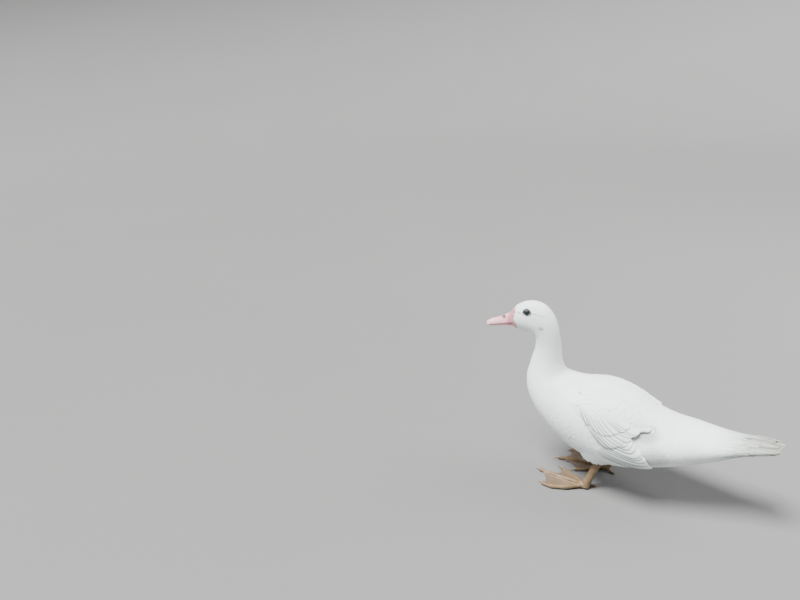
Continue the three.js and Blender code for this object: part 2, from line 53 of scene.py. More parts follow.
# The ribs of the body from the root of the bill to the end of the tail: x and z of the back,
# x and z of the belly, the half width, and the share of the height at which it is widest.
RIBS = {
    "bill_root": (-0.2160, 0.3175, -0.2115, 0.2870, 0.0102, 0.50),
    "lores": (-0.2085, 0.3285, -0.2025, 0.2835, 0.0156, 0.52),
    "brow": (-0.1915, 0.3393, -0.1865, 0.2810, 0.0203, 0.54),
    "crown": (-0.1715, 0.3428, -0.1735, 0.2780, 0.0218, 0.54),
    "hindcrown": (-0.1525, 0.3368, -0.1675, 0.2740, 0.0220, 0.52),
    "nape": (-0.1375, 0.3215, -0.1655, 0.2680, 0.0214, 0.50),
    "throat": (-0.1280, 0.3020, -0.1655, 0.2600, 0.0210, 0.50),
    "upper_neck": (-0.1220, 0.2800, -0.1660, 0.2500, 0.0210, 0.50),
    "mid_neck": (-0.1175, 0.2570, -0.1690, 0.2370, 0.0230, 0.50),
    "lower_neck": (-0.1130, 0.2330, -0.1725, 0.2190, 0.0280, 0.50),
    "neck_root": (-0.1035, 0.2150, -0.1762, 0.1960, 0.0360, 0.50),
    "crop": (-0.0840, 0.2085, -0.1715, 0.1660, 0.0470, 0.52),
    "breast": (-0.0600, 0.2070, -0.1525, 0.1320, 0.0590, 0.52),
    "keel": (-0.0340, 0.2080, -0.1185, 0.0970, 0.0690, 0.52),
    "shoulder": (-0.0040, 0.2060, -0.0745, 0.0690, 0.0750, 0.50),
    "flank": (0.0280, 0.1960, -0.0265, 0.0560, 0.0770, 0.50),
    "belly": (0.0625, 0.1795, 0.0225, 0.0600, 0.0740, 0.50),
    "vent": (0.0975, 0.1690, 0.0675, 0.0740, 0.0660, 0.48),
    "rump": (0.1325, 0.1665, 0.1135, 0.0885, 0.0550, 0.45),
    "tail_coverts": (0.1685, 0.1630, 0.1585, 0.1080, 0.0420, 0.42),
    "tail_root": (0.2035, 0.1610, 0.1965, 0.1310, 0.0310, 0.40),
    "tail_middle": (0.2300, 0.1640, 0.2290, 0.1450, 0.0280, 0.40),
    "tail_end": (0.2570, 0.1660, 0.2570, 0.1530, 0.0200, 0.40),
}
RIB_NAMES = list(RIBS)
RIB_TABLE = np.array(list(RIBS.values()))
# The skin ends at this rib. The ribs after it only carry the coverts of the tail.
LAST_RIB = RIB_NAMES.index("tail_root")
# The bare skin of the face ends at this rib.
FACE_END = 1.0
FLESH_NODES = (
    "head", "neck_upper", "neck_lower", "breast", "torso", "rump", "thigh_left", "thigh_right"
)

# How far apart the small feathers stand, at some places along the ribs.
SPACING_PLACES = [0, 3, 5, 8, 10, 12, 15, 18, 20]
SPACING = [0.0017, 0.0022, 0.0027, 0.0036, 0.0052, 0.0066, 0.0082, 0.0082, 0.0070]
# How far forward, in ribs, the feathers of the face reach, from its top round to its underside.
FEATHER_LINE = np.array([0.74, 0.86, 1.0, 0.84, 0.60, 0.98, 1.06, 1.03, 1.0])
# Each tuft has a patch of this width on the map of its coat, at its root's place.
TUFT_PATCH = 0.003

EYE_PLACE = Vector((-0.183, 0.0154, 0.3245))
EYE_CLEARANCE = 0.0070  # no feather grows nearer to the middle of the eye
LID_OPENING = np.array([0.0055, 0.0046])
LID_OUTLINE = np.array([0.0080, 0.0074])

# Places on a wing are a length and an angle round this level line, counted from straight up.
CORE_Z = 0.135

# The leaf of the lesser coverts: its two ends, the angles of its upper and lower edge between
# them, how far it stands off the body, and how thick its edge is.
LEAF_FROM = -0.081
LEAF_TO = 0.066
LEAF_UPPER = np.array([38, 26, 21, 18, 20, 28, 42, 54])
LEAF_LOWER = np.array([52, 64, 72, 79, 82, 74, 63, 58])
LEAF_HEIGHT = 0.0065
LEAF_EDGE = 0.0012
LEAF_SUNK = 0.0009  # how deep the leaf lies under its coverts
LEAF_ROOTED = 0.0018  # how deep its inner face lies in the body
# The lesser coverts over it stand in rows, one step apart, and this far from each other in a row.
COVERT_STEP = 0.0062
COVERT_GAP = 0.0078
COVERT_LENGTH = 0.0190
COVERT_WIDTH = 0.0118
WING_REACH = 0.072  # how far the wings are from the core

# The small bulbs of the bare skin: how many there are, and their least and greatest size.
BULBS = 150
BULB_SIZES = (0.0008, 0.0021)

# The tiers of the wing's large feathers, from the lowest or foremost feather to the highest or
# rearmost: roots and tips as a length, an angle in degrees and a height off the body. The roll
# lifts the free edge of each vane.
WING_TIERS = {
    "flights": {
        "count": 13,
        "width": (0.015, 0.023),
        "roll": 0.15,
        "root": ((-0.026, 112, -0.0014), (-0.014, 97, 0.0014), (0.004, 78, 0.0036)),
        "tip": ((0.0715, 121, 0.0044), (0.0605, 104, 0.0062), (0.024, 78, 0.0062)),
    },
    "greater_coverts": {
        "count": 11,
        "width": (0.014, 0.015),
        "roll": 0.15,
        "root": ((-0.040, 72, 0.0044), (-0.020, 74, 0.0054), (0.006, 62, 0.0060)),
        "tip": ((0.000, 95, 0.0044), (0.020, 88, 0.0062), (0.042, 68, 0.0066)),
    },
    "median_coverts": {
        "count": 12,
        "width": (0.013, 0.014),
        "roll": 0.15,
        "root": ((-0.060, 50, 0.0054), (-0.036, 58, 0.0068), (-0.008, 54, 0.0072)),
        "tip": ((-0.038, 70, 0.0050), (-0.006, 80, 0.0070), (0.026, 66, 0.0078)),
    },
    "tertials": {
        "count": 7,
        "width": (0.015, 0.020),
        "roll": 0.04,
        "root": ((-0.004, 54, 0.0068), (-0.004, 43, 0.0060), (-0.014, 28, 0.0036)),
        "tip": ((0.050, 57, 0.0040), (0.062, 54, 0.0026), (0.030, 36, 0.0012)),
    },
}

# The tail's fan opens from its pivot. It rises to the rear, and its sides drop.
TAIL_PIVOT_X = 0.110
TAIL_ROOT_X = 0.172
TAIL_TIP_X = 0.2657
TAIL_LENGTH = 0.094
TAIL_ROOT_Z = 0.152
TAIL_TIP_Z = 0.167
TAIL_PAIRS = 9
TAIL_SPREAD = math.radians(10.5)
TAIL_DROP = 0.013
TAIL_ROUNDING = 0.026  # how much shorter the outermost feathers are
TAIL_COVERT_ROWS = (18.7, 19.1, 19.5, 19.9, 20.3, 20.7)  # where their roots lie, in ribs
TAIL_STAIN_X = (0.150, 0.240)  # the soiling grows from the first place to the second

# The bill in profile and in plan, from its root to its tip.
BILL_ROOT_X = -0.216
BILL_TIP_X = -0.266
BILL_RIDGE = np.array([0.3175, 0.3115, 0.3052, 0.2998, 0.2954, 0.2916, 0.2872])
BILL_MOUTH = np.array([0.2935, 0.2913, 0.2890, 0.2870, 0.2848, 0.2822, 0.2794])
BILL_UNDER = np.array([0.2870, 0.2852, 0.2834, 0.2816, 0.2800, 0.2788, 0.2780])
BILL_HALF = np.array([0.0098, 0.0096, 0.0093, 0.0095, 0.0101, 0.0103, 0.0072])
NOSTRIL = Vector((-0.2315, 0.0062, 0.3030))

# Each foot: which side it is on, and the place on the floor under its ankle.
FEET = {"left": (-1, Vector((-0.0385, -0.040, 0))), "right": (1, Vector((-0.015, 0.038, 0)))}
HOCK_Z = 0.050
HOCK_BACK = 0.015
HIP_Z = 0.112
SHANK_RADIUS = 0.0061
ANKLE_HEIGHTS = (0.0045, 0.019)
ANKLE_RADII = (0.0092, 0.0066)
PAD_PLACE = Vector((-0.003, 0, 0.0062))
PAD_RADII = (0.0125, 0.0094, 0.0075)
MELT_SIZE = 0.00075  # how fine the surface is that the parts of a leg melt into

# Marks on the plumage and patches of painted shade: a place, how far each reaches, how strong
# it is and its tint. Those with a positive y lie on both sides.
FLECK = ((-0.0675, -0.0390, 0.1973), (0.0058, 0.009, 0.0014), 0.55, "fleck")
PLUMAGE_MARKS_AND_SHADE = (
    ((-0.1533, 0.0216, 0.2990), (0.0066, 0.012, 0.0050), 0.65, "ear"),
    ((-0.1690, 0.0200, 0.3243), (0.0100, 0.012, 0.0015), 0.70, "ear"),
    ((-0.1560, 0.0190, 0.3226), (0.0100, 0.012, 0.0013), 0.50, "ear"),
    ((-0.1680, 0.0220, 0.3150), (0.0140, 0.012, 0.0013), 0.35, "ear"),
    ((-0.1982, 0.0163, 0.3205), (0.0085, 0.010, 0.0026), 0.55, "ear"),
    ((-0.1835, 0.0200, 0.3240), (0.0118, 0.012, 0.0098), 0.50, "ear"),
    # Painted shade: under the wing's lobe, behind the flights' ends, low on the belly and rump.
    ((0.0560, 0.0660, 0.1610), (0.0320, 0.034, 0.0210), 0.60, "soil_and_painted_shade"),
    ((0.0760, 0.0620, 0.1150), (0.0300, 0.036, 0.0280), 0.35, "soil_and_painted_shade"),
    ((0.0300, 0.0600, 0.0700), (0.0800, 0.060, 0.0240), 0.25, "soil_and_painted_shade"),
    FLECK,
)

# Each toe: the angle and reach of its bend, the angle and length of its end, and its radius.
TOES = {
    "outer": (40, 0.064, 21, 0.079, 0.0046),
    "middle": (-3, 0.048, -7, 0.091, 0.0046),
    "inner": (-40, 0.038, -34, 0.063, 0.0042),
    "hind": (-135, 0.012, -150, 0.022, 0.0030),
}
CLAW_LENGTH = 0.010

# The floor is a disc whose rim curves up. One large soft lamp lights it, with two more that are
# each a place, a size and a power.
FLOOR_REACH = 5
RIM = 3
KEY_PLACE = (-0.8, -0.9, 2.6)
KEY_DIRECTION = Vector((0.8, 0.9, -2.4))
KEY_ANGLE = math.radians(26)
KEY_POWER = 12
SOFT_LAMPS = {"fill": ((-0.6, -2.4, 1.0), 1.8, 7), "back": ((1.4, 1.2, 1.8), 1.6, 55)}
LAMP_AIM = Vector((0, 0, 0.15))


# Smooth forms


def smooth(table, t):
    """The Catmull-Rom value between the rows of a table, at the places t in steps of one row."""
    table = np.asarray(table, float)
    t = np.asarray(t, float)
    last = len(table) - 1
    i = np.clip(np.floor(t).astype(int), 0, last - 1)
    f = t - i
    if table.ndim > 1:
        f = f[..., None]
    a, b, c, d = (table[np.clip(i + k, 0, last)] for k in (-1, 0, 1, 2))
    return b + 0.5 * f * (c - a + f * (2 * a - 5 * b + 4 * c - d + f * (3 * (b - c) + d - a)))


def along(table, share):
    """The smooth value of a table at a share of its whole length."""
    return smooth(table, np.asarray(share) * (len(table) - 1))


def lerp(a, b, share):
    """The value that lies at a share of the way from a to b."""
    return a + (b - a) * share


def unit(vectors):
    """The same directions at length one."""
    return vectors / np.maximum(np.linalg.norm(vectors, axis=-1, keepdims=True), 1e-12)


def all_round(count):
    """Even angles all the way round."""
    return np.linspace(0, 2 * np.pi, count, endpoint=False)


def body_point(t, phi):
    """The body's surface at a place along the ribs and at an angle from the back."""
    rib = smooth(RIB_TABLE, t)
    cos = np.cos(phi)
    widest = rib[..., 5]
    depth = widest - np.where(cos > 0, widest, 1 - widest) * cos
    place = rib[..., 0:2] + (rib[..., 2:4] - rib[..., 0:2]) * depth[..., None]
    return np.stack([place[..., 0], rib[..., 4] * np.sin(phi), place[..., 1]], -1)


def slopes(point, a, b, step=1e-3):
    """How a surface runs along each of its two directions."""
    run_a = (point(a + step, b) - point(a - step, b)) / (2 * step)
    run_b = (point(a, b + step) - point(a, b - step)) / (2 * step)
    return run_a, run_b


def outward(point, a, b):
    """The direction that points straight off a surface."""
    run_a, run_b = slopes(point, a, b)
    return unit(np.cross(run_a, run_b))


# Feathers

Grid = namedtuple("Grid", "across half along layer faces")


def feather_grid(rows, halves, columns):
    """A closed thin feather: its upper and lower faces share their side edges."""
    across, half, length, layer = [], [], [], []
    upper, lower = {}, {}
    for r, (v, h) in enumerate(zip(rows, halves)):
        for c, u in enumerate(columns):
            upper[r, c] = len(across)
            across.append(u)
            half.append(h)
            length.append(v)
            layer.append(1)
        for c, u in enumerate(columns):
            if c in (0, len(columns) - 1):
                lower[r, c] = upper[r, c]
                continue
            lower[r, c] = len(across)
            across.append(u)
            half.append(h)
            length.append(v)
            layer.append(-1)
    faces = []

    def add(*corners):
        ring = [k for i, k in enumerate(corners) if k != corners[i - 1]]
        for k in range(1, len(ring) - 1):
            faces.append((ring[0], ring[k], ring[k + 1]))

    for r in range(len(rows) - 1):
        for c in range(len(columns) - 1):
            add(upper[r, c], upper[r + 1, c], upper[r + 1, c + 1], upper[r, c + 1])
            add(lower[r, c], lower[r, c + 1], lower[r + 1, c + 1], lower[r + 1, c])
    for r, turn in ((0, 1), (len(rows) - 1, -1)):
        for c in range(len(columns) - 1):
            add(*(upper[r, c], upper[r, c + 1], lower[r, c + 1], lower[r, c])[::turn])
    arrays = (np.array(v, float) for v in (across, half, length, layer))
    return Grid(*arrays, np.array(faces))


TINY = feather_grid((0, 0.55, 1), (0.5, 1, 0.3), (-1, 0, 1))
SMALL = feather_grid((0, 0.35, 0.7, 0.9, 1), (0.35, 0.85, 1, 0.74, 0.24), (-1, 0, 1))
VANE = feather_grid(
    (0, 0.08, 0.22, 0.38, 0.54, 0.68, 0.8, 0.89, 0.95, 0.985, 1),
    (0.3, 0.62, 0.82, 0.92, 0.98, 1, 0.97, 0.86, 0.66, 0.42, 0.16),
    (-1, -0.62, -0.25, -0.06, 0.06, 0.25, 0.62, 1),
)

Coat = namedtuple("Coat", "points faces uv vane tone")


def lay(
    point, a, b, length, width, turn=0, grid=SMALL, side=1, seed=0, unwrap=None,
    root=-0.0008, tip=0.0006, rise=0.7, camber=0.06, thick=0.00016, roll=0, shaft=0, flip=1,
):
    """Feathers rooted at the places (a, b) of a surface, pointing along a and turned towards b.

    Each rises from the height of its root to that of its tip. Across, it is domed by its camber
    and tilted by its roll, and its shaft stands out. The flip turns the map of its vane over.
    """
    numbers = np.broadcast_arrays(*(np.atleast_1d(v) for v in (a, b, length, width, turn)))
    a, b, length, width, turn = (v.astype(float)[:, None] for v in numbers)
    root, tip = (np.broadcast_to(np.atleast_1d(v), len(a))[:, None] for v in (root, tip))
    run_a, run_b = (np.linalg.norm(run, axis=-1) for run in slopes(point, a, b))
    ahead = grid.along * length
    aside = grid.across * grid.half * width / 2
    at_a = a + (ahead * np.cos(turn) - aside * np.sin(turn)) / run_a
    at_b = b + (ahead * np.sin(turn) + aside * np.cos(turn)) / run_b
    crown = 1 - grid.across**2
    height = root + (tip - root) * np.power(grid.along, rise)
    height = height + camber * width * crown + thick * crown * grid.layer + roll * aside
    on_shaft = np.abs(grid.across) < 0.1
    height = height + shaft * on_shaft * grid.layer * (1.1 - grid.along)
    points = point(at_a, at_b) + outward(point, at_a, at_b) * height[..., None]
    faces = grid.faces
    if side < 0:
        points[..., 1] *= -1
        faces = faces[:, ::-1]
    count = len(a)
    faces = faces[None] + np.arange(count)[:, None, None] * len(grid.across)
    vane = np.stack([grid.across * 0.5 * flip + 0.5, grid.along], -1)
    vane = np.broadcast_to(vane, (count, len(grid.across), 2))
    if unwrap is None:
        cells = math.ceil(math.sqrt(count))
        corner = np.stack([np.arange(count) % cells, np.arange(count) // cells], -1)
        uv = (corner[:, None] + 0.04 + 0.92 * vane) / cells
    else:
        uv = np.stack(np.broadcast_arrays(*unwrap(a, b)), -1) + (vane - 0.5) * TUFT_PATCH
    tone = np.random.default_rng(seed).random(count)[:, None] * np.ones(len(grid.across))
    flat = (values.reshape(-1, values.shape[-1]) for values in (points, faces, uv, vane))
    return Coat(*flat, tone.ravel())


def gather(coats):
    """Several lots of feathers as one."""
    starts = np.cumsum([0] + [len(coat.points) for coat in coats[:-1]])
    whole = {part: np.concatenate([getattr(coat, part) for coat in coats]) for part in Coat._fields}
    whole["faces"] = np.concatenate([coat.faces + start for coat, start in zip(coats, starts)])
    return Coat(**whole)


# Pieces


def declare(piece, material, replaced=()):
    """Gives a piece its finish and hides the solids it stands for."""
    piece.data.materials.clear()
    piece.data.materials.append(material)
    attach(piece, "root")
    if replaced:
        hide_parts(*replaced)
    return piece


def only(piece):
    """Makes a piece the one that is selected and active."""
    bpy.ops.object.select_all(action="DESELECT")
    piece.select_set(True)
    bpy.context.view_layer.objects.active = piece


def soften(piece, degrees=40):
    """Smooth shading, apart from edges sharper than an angle."""
    only(piece)
    bpy.ops.object.shade_smooth_by_angle(angle=math.radians(degrees))


def apply_modifier(piece, kind, **values):
    """Adds a modifier to a piece and applies it."""
    modifier = piece.modifiers.new(kind.title(), kind)
    for key, value in values.items():
        setattr(modifier, key, value)
    only(piece)
    bpy.ops.object.modifier_apply(modifier=modifier.name)


def feather_piece(name, coat):
    """One mesh of many feathers, with its two maps and the tone of each feather."""
    mesh = bpy.data.meshes.new(name)
    mesh.vertices.add(len(coat.points))
    mesh.vertices.foreach_set("co", coat.points.ravel())
    mesh.loops.add(coat.faces.size)
    mesh.loops.foreach_set("vertex_index", coat.faces.ravel())
    mesh.polygons.add(len(coat.faces))
    mesh.polygons.foreach_set("loop_start", np.arange(0, coat.faces.size, 3))
    mesh.update(calc_edges=True)
    for layer, values in (("OFBake", coat.uv), ("Vane", coat.vane)):
        layer = mesh.uv_layers.new(name=layer)
        layer.data.foreach_set("uv", values[coat.faces.ravel()].ravel())
    tone = mesh.attributes.new("tone", "FLOAT", "POINT")
    tone.data.foreach_set("value", coat.tone)
    mesh.validate()
    piece = bpy.data.objects.new(name, mesh)
    bpy.context.collection.objects.link(piece)
    soften(piece, 60)
    return piece


def tube_piece(name, rings):
    """A grid bent round into a tube through rings of equal count, with both ends closed."""
    rings = np.asarray(rings, float)
    steps, sides = rings.shape[:2]
    bpy.ops.object.select_all(action="DESELECT")
    bpy.ops.mesh.primitive_grid_add(x_subdivisions=sides, y_subdivisions=steps - 1, size=1)
    piece = bpy.context.object
    piece.name = name
    piece.data.name = name
    places = np.empty(len(piece.data.vertices) * 3)
    piece.data.vertices.foreach_get("co", places)
    places = places.reshape(-1, 3).round(5)
    order = np.lexsort((places[:, 0], places[:, 1]))
    wrapped = np.concatenate([rings, rings[:, :1]], axis=1).reshape(-1, 3)
    places[order] = wrapped
    piece.data.vertices.foreach_set("co", places.ravel())
    while piece.data.uv_layers:
        piece.data.uv_layers.remove(piece.data.uv_layers[0])
    bpy.ops.object.mode_set(mode="EDIT")
    bpy.ops.mesh.select_all(action="SELECT")
    bpy.ops.mesh.remove_doubles(threshold=1e-6)
    bpy.ops.mesh.fill_holes(sides=0)
    bpy.ops.mesh.select_all(action="SELECT")
    bpy.ops.mesh.normals_make_consistent(inside=False)
    bpy.ops.object.mode_set(mode="OBJECT")
    return piece


def ball_piece(name, centre, radii, segments=24, rings=16):
    """An ellipsoid with its place in its mesh."""
    bpy.ops.object.select_all(action="DESELECT")
    bpy.ops.mesh.primitive_uv_sphere_add(
        segments=segments, ring_count=rings, radius=1, location=centre
    )
    piece = bpy.context.object
    piece.name = name
    piece.scale = radii
    bpy.ops.object.transform_apply(location=True, rotation=True, scale=True)
    return piece


def join_pieces(name, pieces):
    """Several pieces as one mesh."""
    bpy.ops.object.select_all(action="DESELECT")
    for piece in pieces:
        piece.select_set(True)
    bpy.context.view_layer.objects.active = pieces[0]
    bpy.ops.object.join()
    piece = bpy.context.object
    piece.name = name
    piece.data.name = name
    return piece


def place_all(piece, change):
    """Moves every vertex of a piece by a function of all their places."""
    places = np.empty(len(piece.data.vertices) * 3)
    piece.data.vertices.foreach_get("co", places)
    piece.data.vertices.foreach_set("co", change(places.reshape(-1, 3)).ravel())
    piece.data.update()


def round_tube(points, radii, sides):
    """Rings round a line of points, level with the floor where the line is."""
    points = np.asarray(points, float)
    ahead = unit(np.gradient(points, axis=0))
    aside = unit(np.cross([0, 0, 1], ahead))
    top = np.cross(ahead, aside)
    turn = all_round(sides)
    spread = aside[:, None] * np.cos(turn)[:, None] + top[:, None] * np.sin(turn)[:, None]
    return points[:, None] + spread * np.asarray(radii)[:, None, None]


# Finishes


def node(material, kind, **values):
    """A shader node with its input sockets or its own settings filled in by name."""
    made = material.node_tree.nodes.new("ShaderNode" + kind)
    for key, value in values.items():
        if key in made.inputs.keys():
            made.inputs[key].default_value = value
        else:
            setattr(made, key, value)
    return made


def wire(material, source, target):
    """Links two sockets."""
    material.node_tree.links.new(source, target)


def finish_of(name, colour, roughness, **sockets):
    """A material and its shader, with its plain sockets filled in."""
    material = bpy.data.materials.new(name)
    material.use_nodes = True
    shader = material.node_tree.nodes["Principled BSDF"]
    shader.inputs["Base Color"].default_value = (*colour, 1)
    shader.inputs["Roughness"].default_value = roughness
    for socket, value in sockets.items():
        shader.inputs[socket.replace("_", " ")].default_value = value
    return material, shader


def coordinates(material, scale=(1, 1, 1)):
    """Object coordinates, scaled."""
    source = node(material, "TexCoord")
    mapping = node(material, "Mapping", Scale=scale)
    wire(material, source.outputs["Object"], mapping.inputs["Vector"])
    return mapping.outputs[0]


def noise(material, scale, detail=3, rough=0.5, vector=None):
    """Soft noise on the Object coordinates or on another vector."""
    made = node(material, "TexNoise", Scale=scale, Detail=detail, Roughness=rough)
    wire(material, vector or coordinates(material), made.inputs["Vector"])
    return made.outputs["Fac"]


def ramp(material, source, low, high, bottom=0, top=1):
    """A smooth step from low to high."""
    made = node(material, "MapRange", interpolation_type="SMOOTHSTEP")
    for key, value in (("From Min", low), ("From Max", high), ("To Min", bottom), ("To Max", top)):
        made.inputs[key].default_value = value
    wire(material, source, made.inputs["Value"])
    return made.outputs["Result"]


def mixed(material, factor, first, second):
    """A colour between two, each a socket or a plain colour."""
    made = node(material, "Mix", data_type="RGBA")
    for name, value in (("Factor", factor), ("A", first), ("B", second)):
        kind = "VALUE" if name == "Factor" else "RGBA"
        socket = next(s for s in made.inputs if s.name == name and s.type == kind)
        if isinstance(value, bpy.types.NodeSocket):
            wire(material, value, socket)
        else:
            socket.default_value = value if name == "Factor" else (*value, 1)
    return next(s for s in made.outputs if s.type == "RGBA")


def times(material, first, second, operation="MULTIPLY"):
    """Two values worked out together: their product, unless another operation is named."""
    made = node(material, "Math", operation=operation)
    for slot, value in enumerate((first, second)):
        if isinstance(value, bpy.types.NodeSocket):
            wire(material, value, made.inputs[slot])
        else:
            made.inputs[slot].default_value = value
    return made.outputs[0]


def axes(material, vector=None):
    """The X, Y and Z of a vector, or else of the Object coordinates."""
    parts = node(material, "SeparateXYZ")
    wire(material, vector or node(material, "TexCoord").outputs["Object"], parts.inputs[0])
    return parts.outputs


def near(material, place, radii):
    """One at a place, falling to nothing at its radii. A positive y stands for both sides."""
    parts = axes(material)
    side = times(material, parts["Y"], 0, "ABSOLUTE") if place[1] > 0 else parts["Y"]
    total = None
    for value, middle, radius in zip((parts["X"], side, parts["Z"]), place, radii):
        offset = times(material, times(material, value, middle, "SUBTRACT"), 1 / radius)
        square = times(material, offset, offset)
        total = square if total is None else times(material, total, square, "ADD")
    return ramp(material, total, 0.0, 1.0, 1, 0)


def bump(material, shader, height, strength, distance, before=None):
    """Raises the shading by a height, over an earlier bump where there is one."""
    made = node(material, "Bump", Strength=strength, Distance=distance)
    wire(material, height, made.inputs["Height"])
    if before:
        wire(material, before, made.inputs["Normal"])
    wire(material, made.outputs[0], shader.inputs["Normal"])
    return made.outputs[0]


def plumage(name, colours, barbs=True, marks_and_painted_shade=(), lined=0.0, uneven=0.2):
    """White feathers, each with its tone and barbs, the bird's marks there, and painted shade.

    Lined ones are darker along the free edge of their vane, where the shade of a stack lies.
    """
    tints = {"ear": colours.ear, "soil_and_painted_shade": colours.soil_and_painted_shade, "fleck": colours.leg_dark}
    material, shader = finish_of(
        name, colours.plumage, 0.62, Sheen_Weight=0.2, Sheen_Roughness=0.5, Specular_IOR_Level=0.3
    )
    broad = ramp(material, noise(material, 26, 4), 0.38, 0.72)
    tone = node(material, "Attribute", attribute_name="tone", attribute_type="GEOMETRY")
    own_tone = times(material, tone.outputs["Fac"], uneven)
    worn = times(material, own_tone, times(material, broad, 0.3), "ADD")
    colour = mixed(material, worn, colours.plumage, colours.plumage_shade)
    rear = ramp(material, axes(material)["X"], *TAIL_STAIN_X)
    streaks = coordinates(material, (26, 240, 240))
    patchy = ramp(material, noise(material, 1, 3, 0.5, streaks), 0.35, 0.65, 0.7, 1)
    colour = mixed(material, times(material, rear, patchy), colour, colours.soil_and_painted_shade)
    # Some of these patches are painted shade, mixed into the colour like marks.
    for place, radii, strength, tint in marks_and_painted_shade:
        mark = times(material, near(material, place, radii), strength)
        colour = mixed(material, mark, colour, tints[tint])
    if lined or barbs:
        vane = axes(material, node(material, "UVMap", uv_map="Vane").outputs[0])
    if lined:
        edge = ramp(material, vane["X"], 0.86, 0.97)
        colour = mixed(material, times(material, edge, lined), colour, colours.gap)
    wire(material, colour, shader.inputs["Base Color"])
    fluff = bump(material, shader, noise(material, 700, 3, 0.6), 0.25, 0.0004)
    if barbs:
        from_shaft = times(material, times(material, vane["X"], 0.5, "SUBTRACT"), 0, "ABSOLUTE")
        slant = times(material, vane["Y"], times(material, from_shaft, 0.55), "SUBTRACT")
        rows = times(material, times(material, slant, 260), 0, "SINE")
        rows = times(material, rows, ramp(material, vane["Y"], 0.70, 0.88, 1, 0))
        bump(material, shader, rows, 0.3, 0.00012, fluff)
    return material


def bill_horn(colours):
    """Pale pink horn with a paler nail and growth lines. Bare bulbs of skin lie round its root."""
    material, shader = finish_of("bill_horn", colours.bill, 0.42, Coat_Weight=0.15)
    root = ramp(material, axes(material)["X"], -0.2255, -0.2195)
    blush = ramp(material, noise(material, 120, 4), 0.35, 0.7)
    colour = mixed(material, times(material, blush, 0.35), colours.bill, colours.bill_blush)
    colour = mixed(material, times(material, root, 0.85), colour, colours.caruncle)
    nail = ramp(material, axes(material)["X"], -0.2565, -0.2595)
    colour = mixed(material, times(material, nail, 0.6), colour, colours.nail)
    hole = near(material, NOSTRIL, (0.0076, 0.009, 0.0042))
    colour = mixed(material, times(material, hole, 0.9), colour, colours.nostril)
    wire(material, colour, shader.inputs["Base Color"])
    stretched = coordinates(material, (90, 420, 420))
    grain = bump(material, shader, noise(material, 3, 4, 0.6, stretched), 0.3, 0.0005)
    cells = node(material, "TexVoronoi", Scale=520.0)
    wire(material, coordinates(material), cells.inputs["Vector"])
    bump(material, shader, times(material, cells.outputs["Distance"], root), 0.5, 0.0009, grain)
    return material


def bare_skin(name, first, second):
    """Bare skin of two tints, in small bulbs."""
    material, shader = finish_of(name, first, 0.5, Subsurface_Weight=0.08)
    shader.inputs["Subsurface Scale"].default_value = 0.003
    cells = node(material, "TexVoronoi", Scale=620.0)
    wire(material, coordinates(material), cells.inputs["Vector"])
    patchy = ramp(material, noise(material, 190, 4), 0.35, 0.68)
    colour = mixed(material, times(material, patchy, 0.6), first, second)
    wire(material, colour, shader.inputs["Base Color"])
    bump(material, shader, cells.outputs["Distance"], 0.35, 0.0006)
    return material


def eye_gloss(colours):
    """A dark pupil in a grey blue iris, under a wet surface. It looks to the side."""
    material, shader = finish_of("eye_gloss", colours.iris, 0.22, Coat_Weight=0.1)
    parts = axes(material)
    squares = []
    for value, middle in ((parts["X"], EYE_PLACE.x), (parts["Z"], EYE_PLACE.z)):
        offset = times(material, value, middle, "SUBTRACT")
        squares.append(times(material, offset, offset))
    radius = times(material, times(material, *squares, "ADD"), 0.5, "POWER")
    iris = mixed(material, noise(material, 1500, 3), colours.iris, colours.iris_dark)
    rim = ramp(material, radius, 0.0040, 0.0052)
    colour = mixed(material, rim, iris, colours.iris_dark)
    pupil = ramp(material, radius, 0.0024, 0.0028, 1, 0)
    colour = mixed(material, pupil, colour, colours.pupil)
    wire(material, colour, shader.inputs["Base Color"])
    return material


def leg_scales(colours, label, place):
    """Ochre scales in bands across the toes and the shank, with greyer webs and dark flecks."""
    material, shader = finish_of("leg_scales_" + label, colours.leg, 0.5)
    position = node(material, "TexCoord")
    distance = node(material, "VectorMath", operation="DISTANCE")
    wire(material, position.outputs["Object"], distance.inputs[0])
    distance.inputs[1].default_value = (place.x, place.y, 0.0)
    bands = times(material, times(material, distance.outputs["Value"], 2100), 0, "SINE")
    cells = node(material, "TexVoronoi", Scale=700.0, feature="DISTANCE_TO_EDGE")
    wire(material, position.outputs["Object"], cells.inputs["Vector"])
    height = axes(material)["Z"]
    low = ramp(material, height, 0.0016, 0.0048, 1, 0)
    wide = ramp(material, noise(material, 70, 4), 0.3, 0.7)
    colour = mixed(material, wide, colours.leg, colours.leg_pale)
    colour = mixed(material, times(material, low, 0.75), colour, colours.web)
    flecks = ramp(material, noise(material, 420, 2), 0.64, 0.70)
    colour = mixed(material, times(material, flecks, 0.8), colour, colours.leg_dark)
    seams = ramp(material, cells.outputs["Distance"], 0.0, 0.09, 0.35, 0)
    colour = mixed(material, seams, colour, colours.leg_dark)
    wire(material, colour, shader.inputs["Base Color"])
    first = bump(material, shader, cells.outputs["Distance"], 0.5, 0.0006)
    bump(material, shader, bands, 0.25, 0.00025, first)
    return material


def claw_horn(colours):
    """Pale horn with darker streaks along it."""
    material, shader = finish_of("claw_horn", colours.claw, 0.4)
    streaks = noise(material, 4, 3, 0.6, coordinates(material, (120, 700, 700)))
    colour = mixed(material, times(material, streaks, 0.7), colours.claw, colours.leg_dark)
    wire(material, colour, shader.inputs["Base Color"])
    bump(material, shader, streaks, 0.3, 0.0003)
    return material


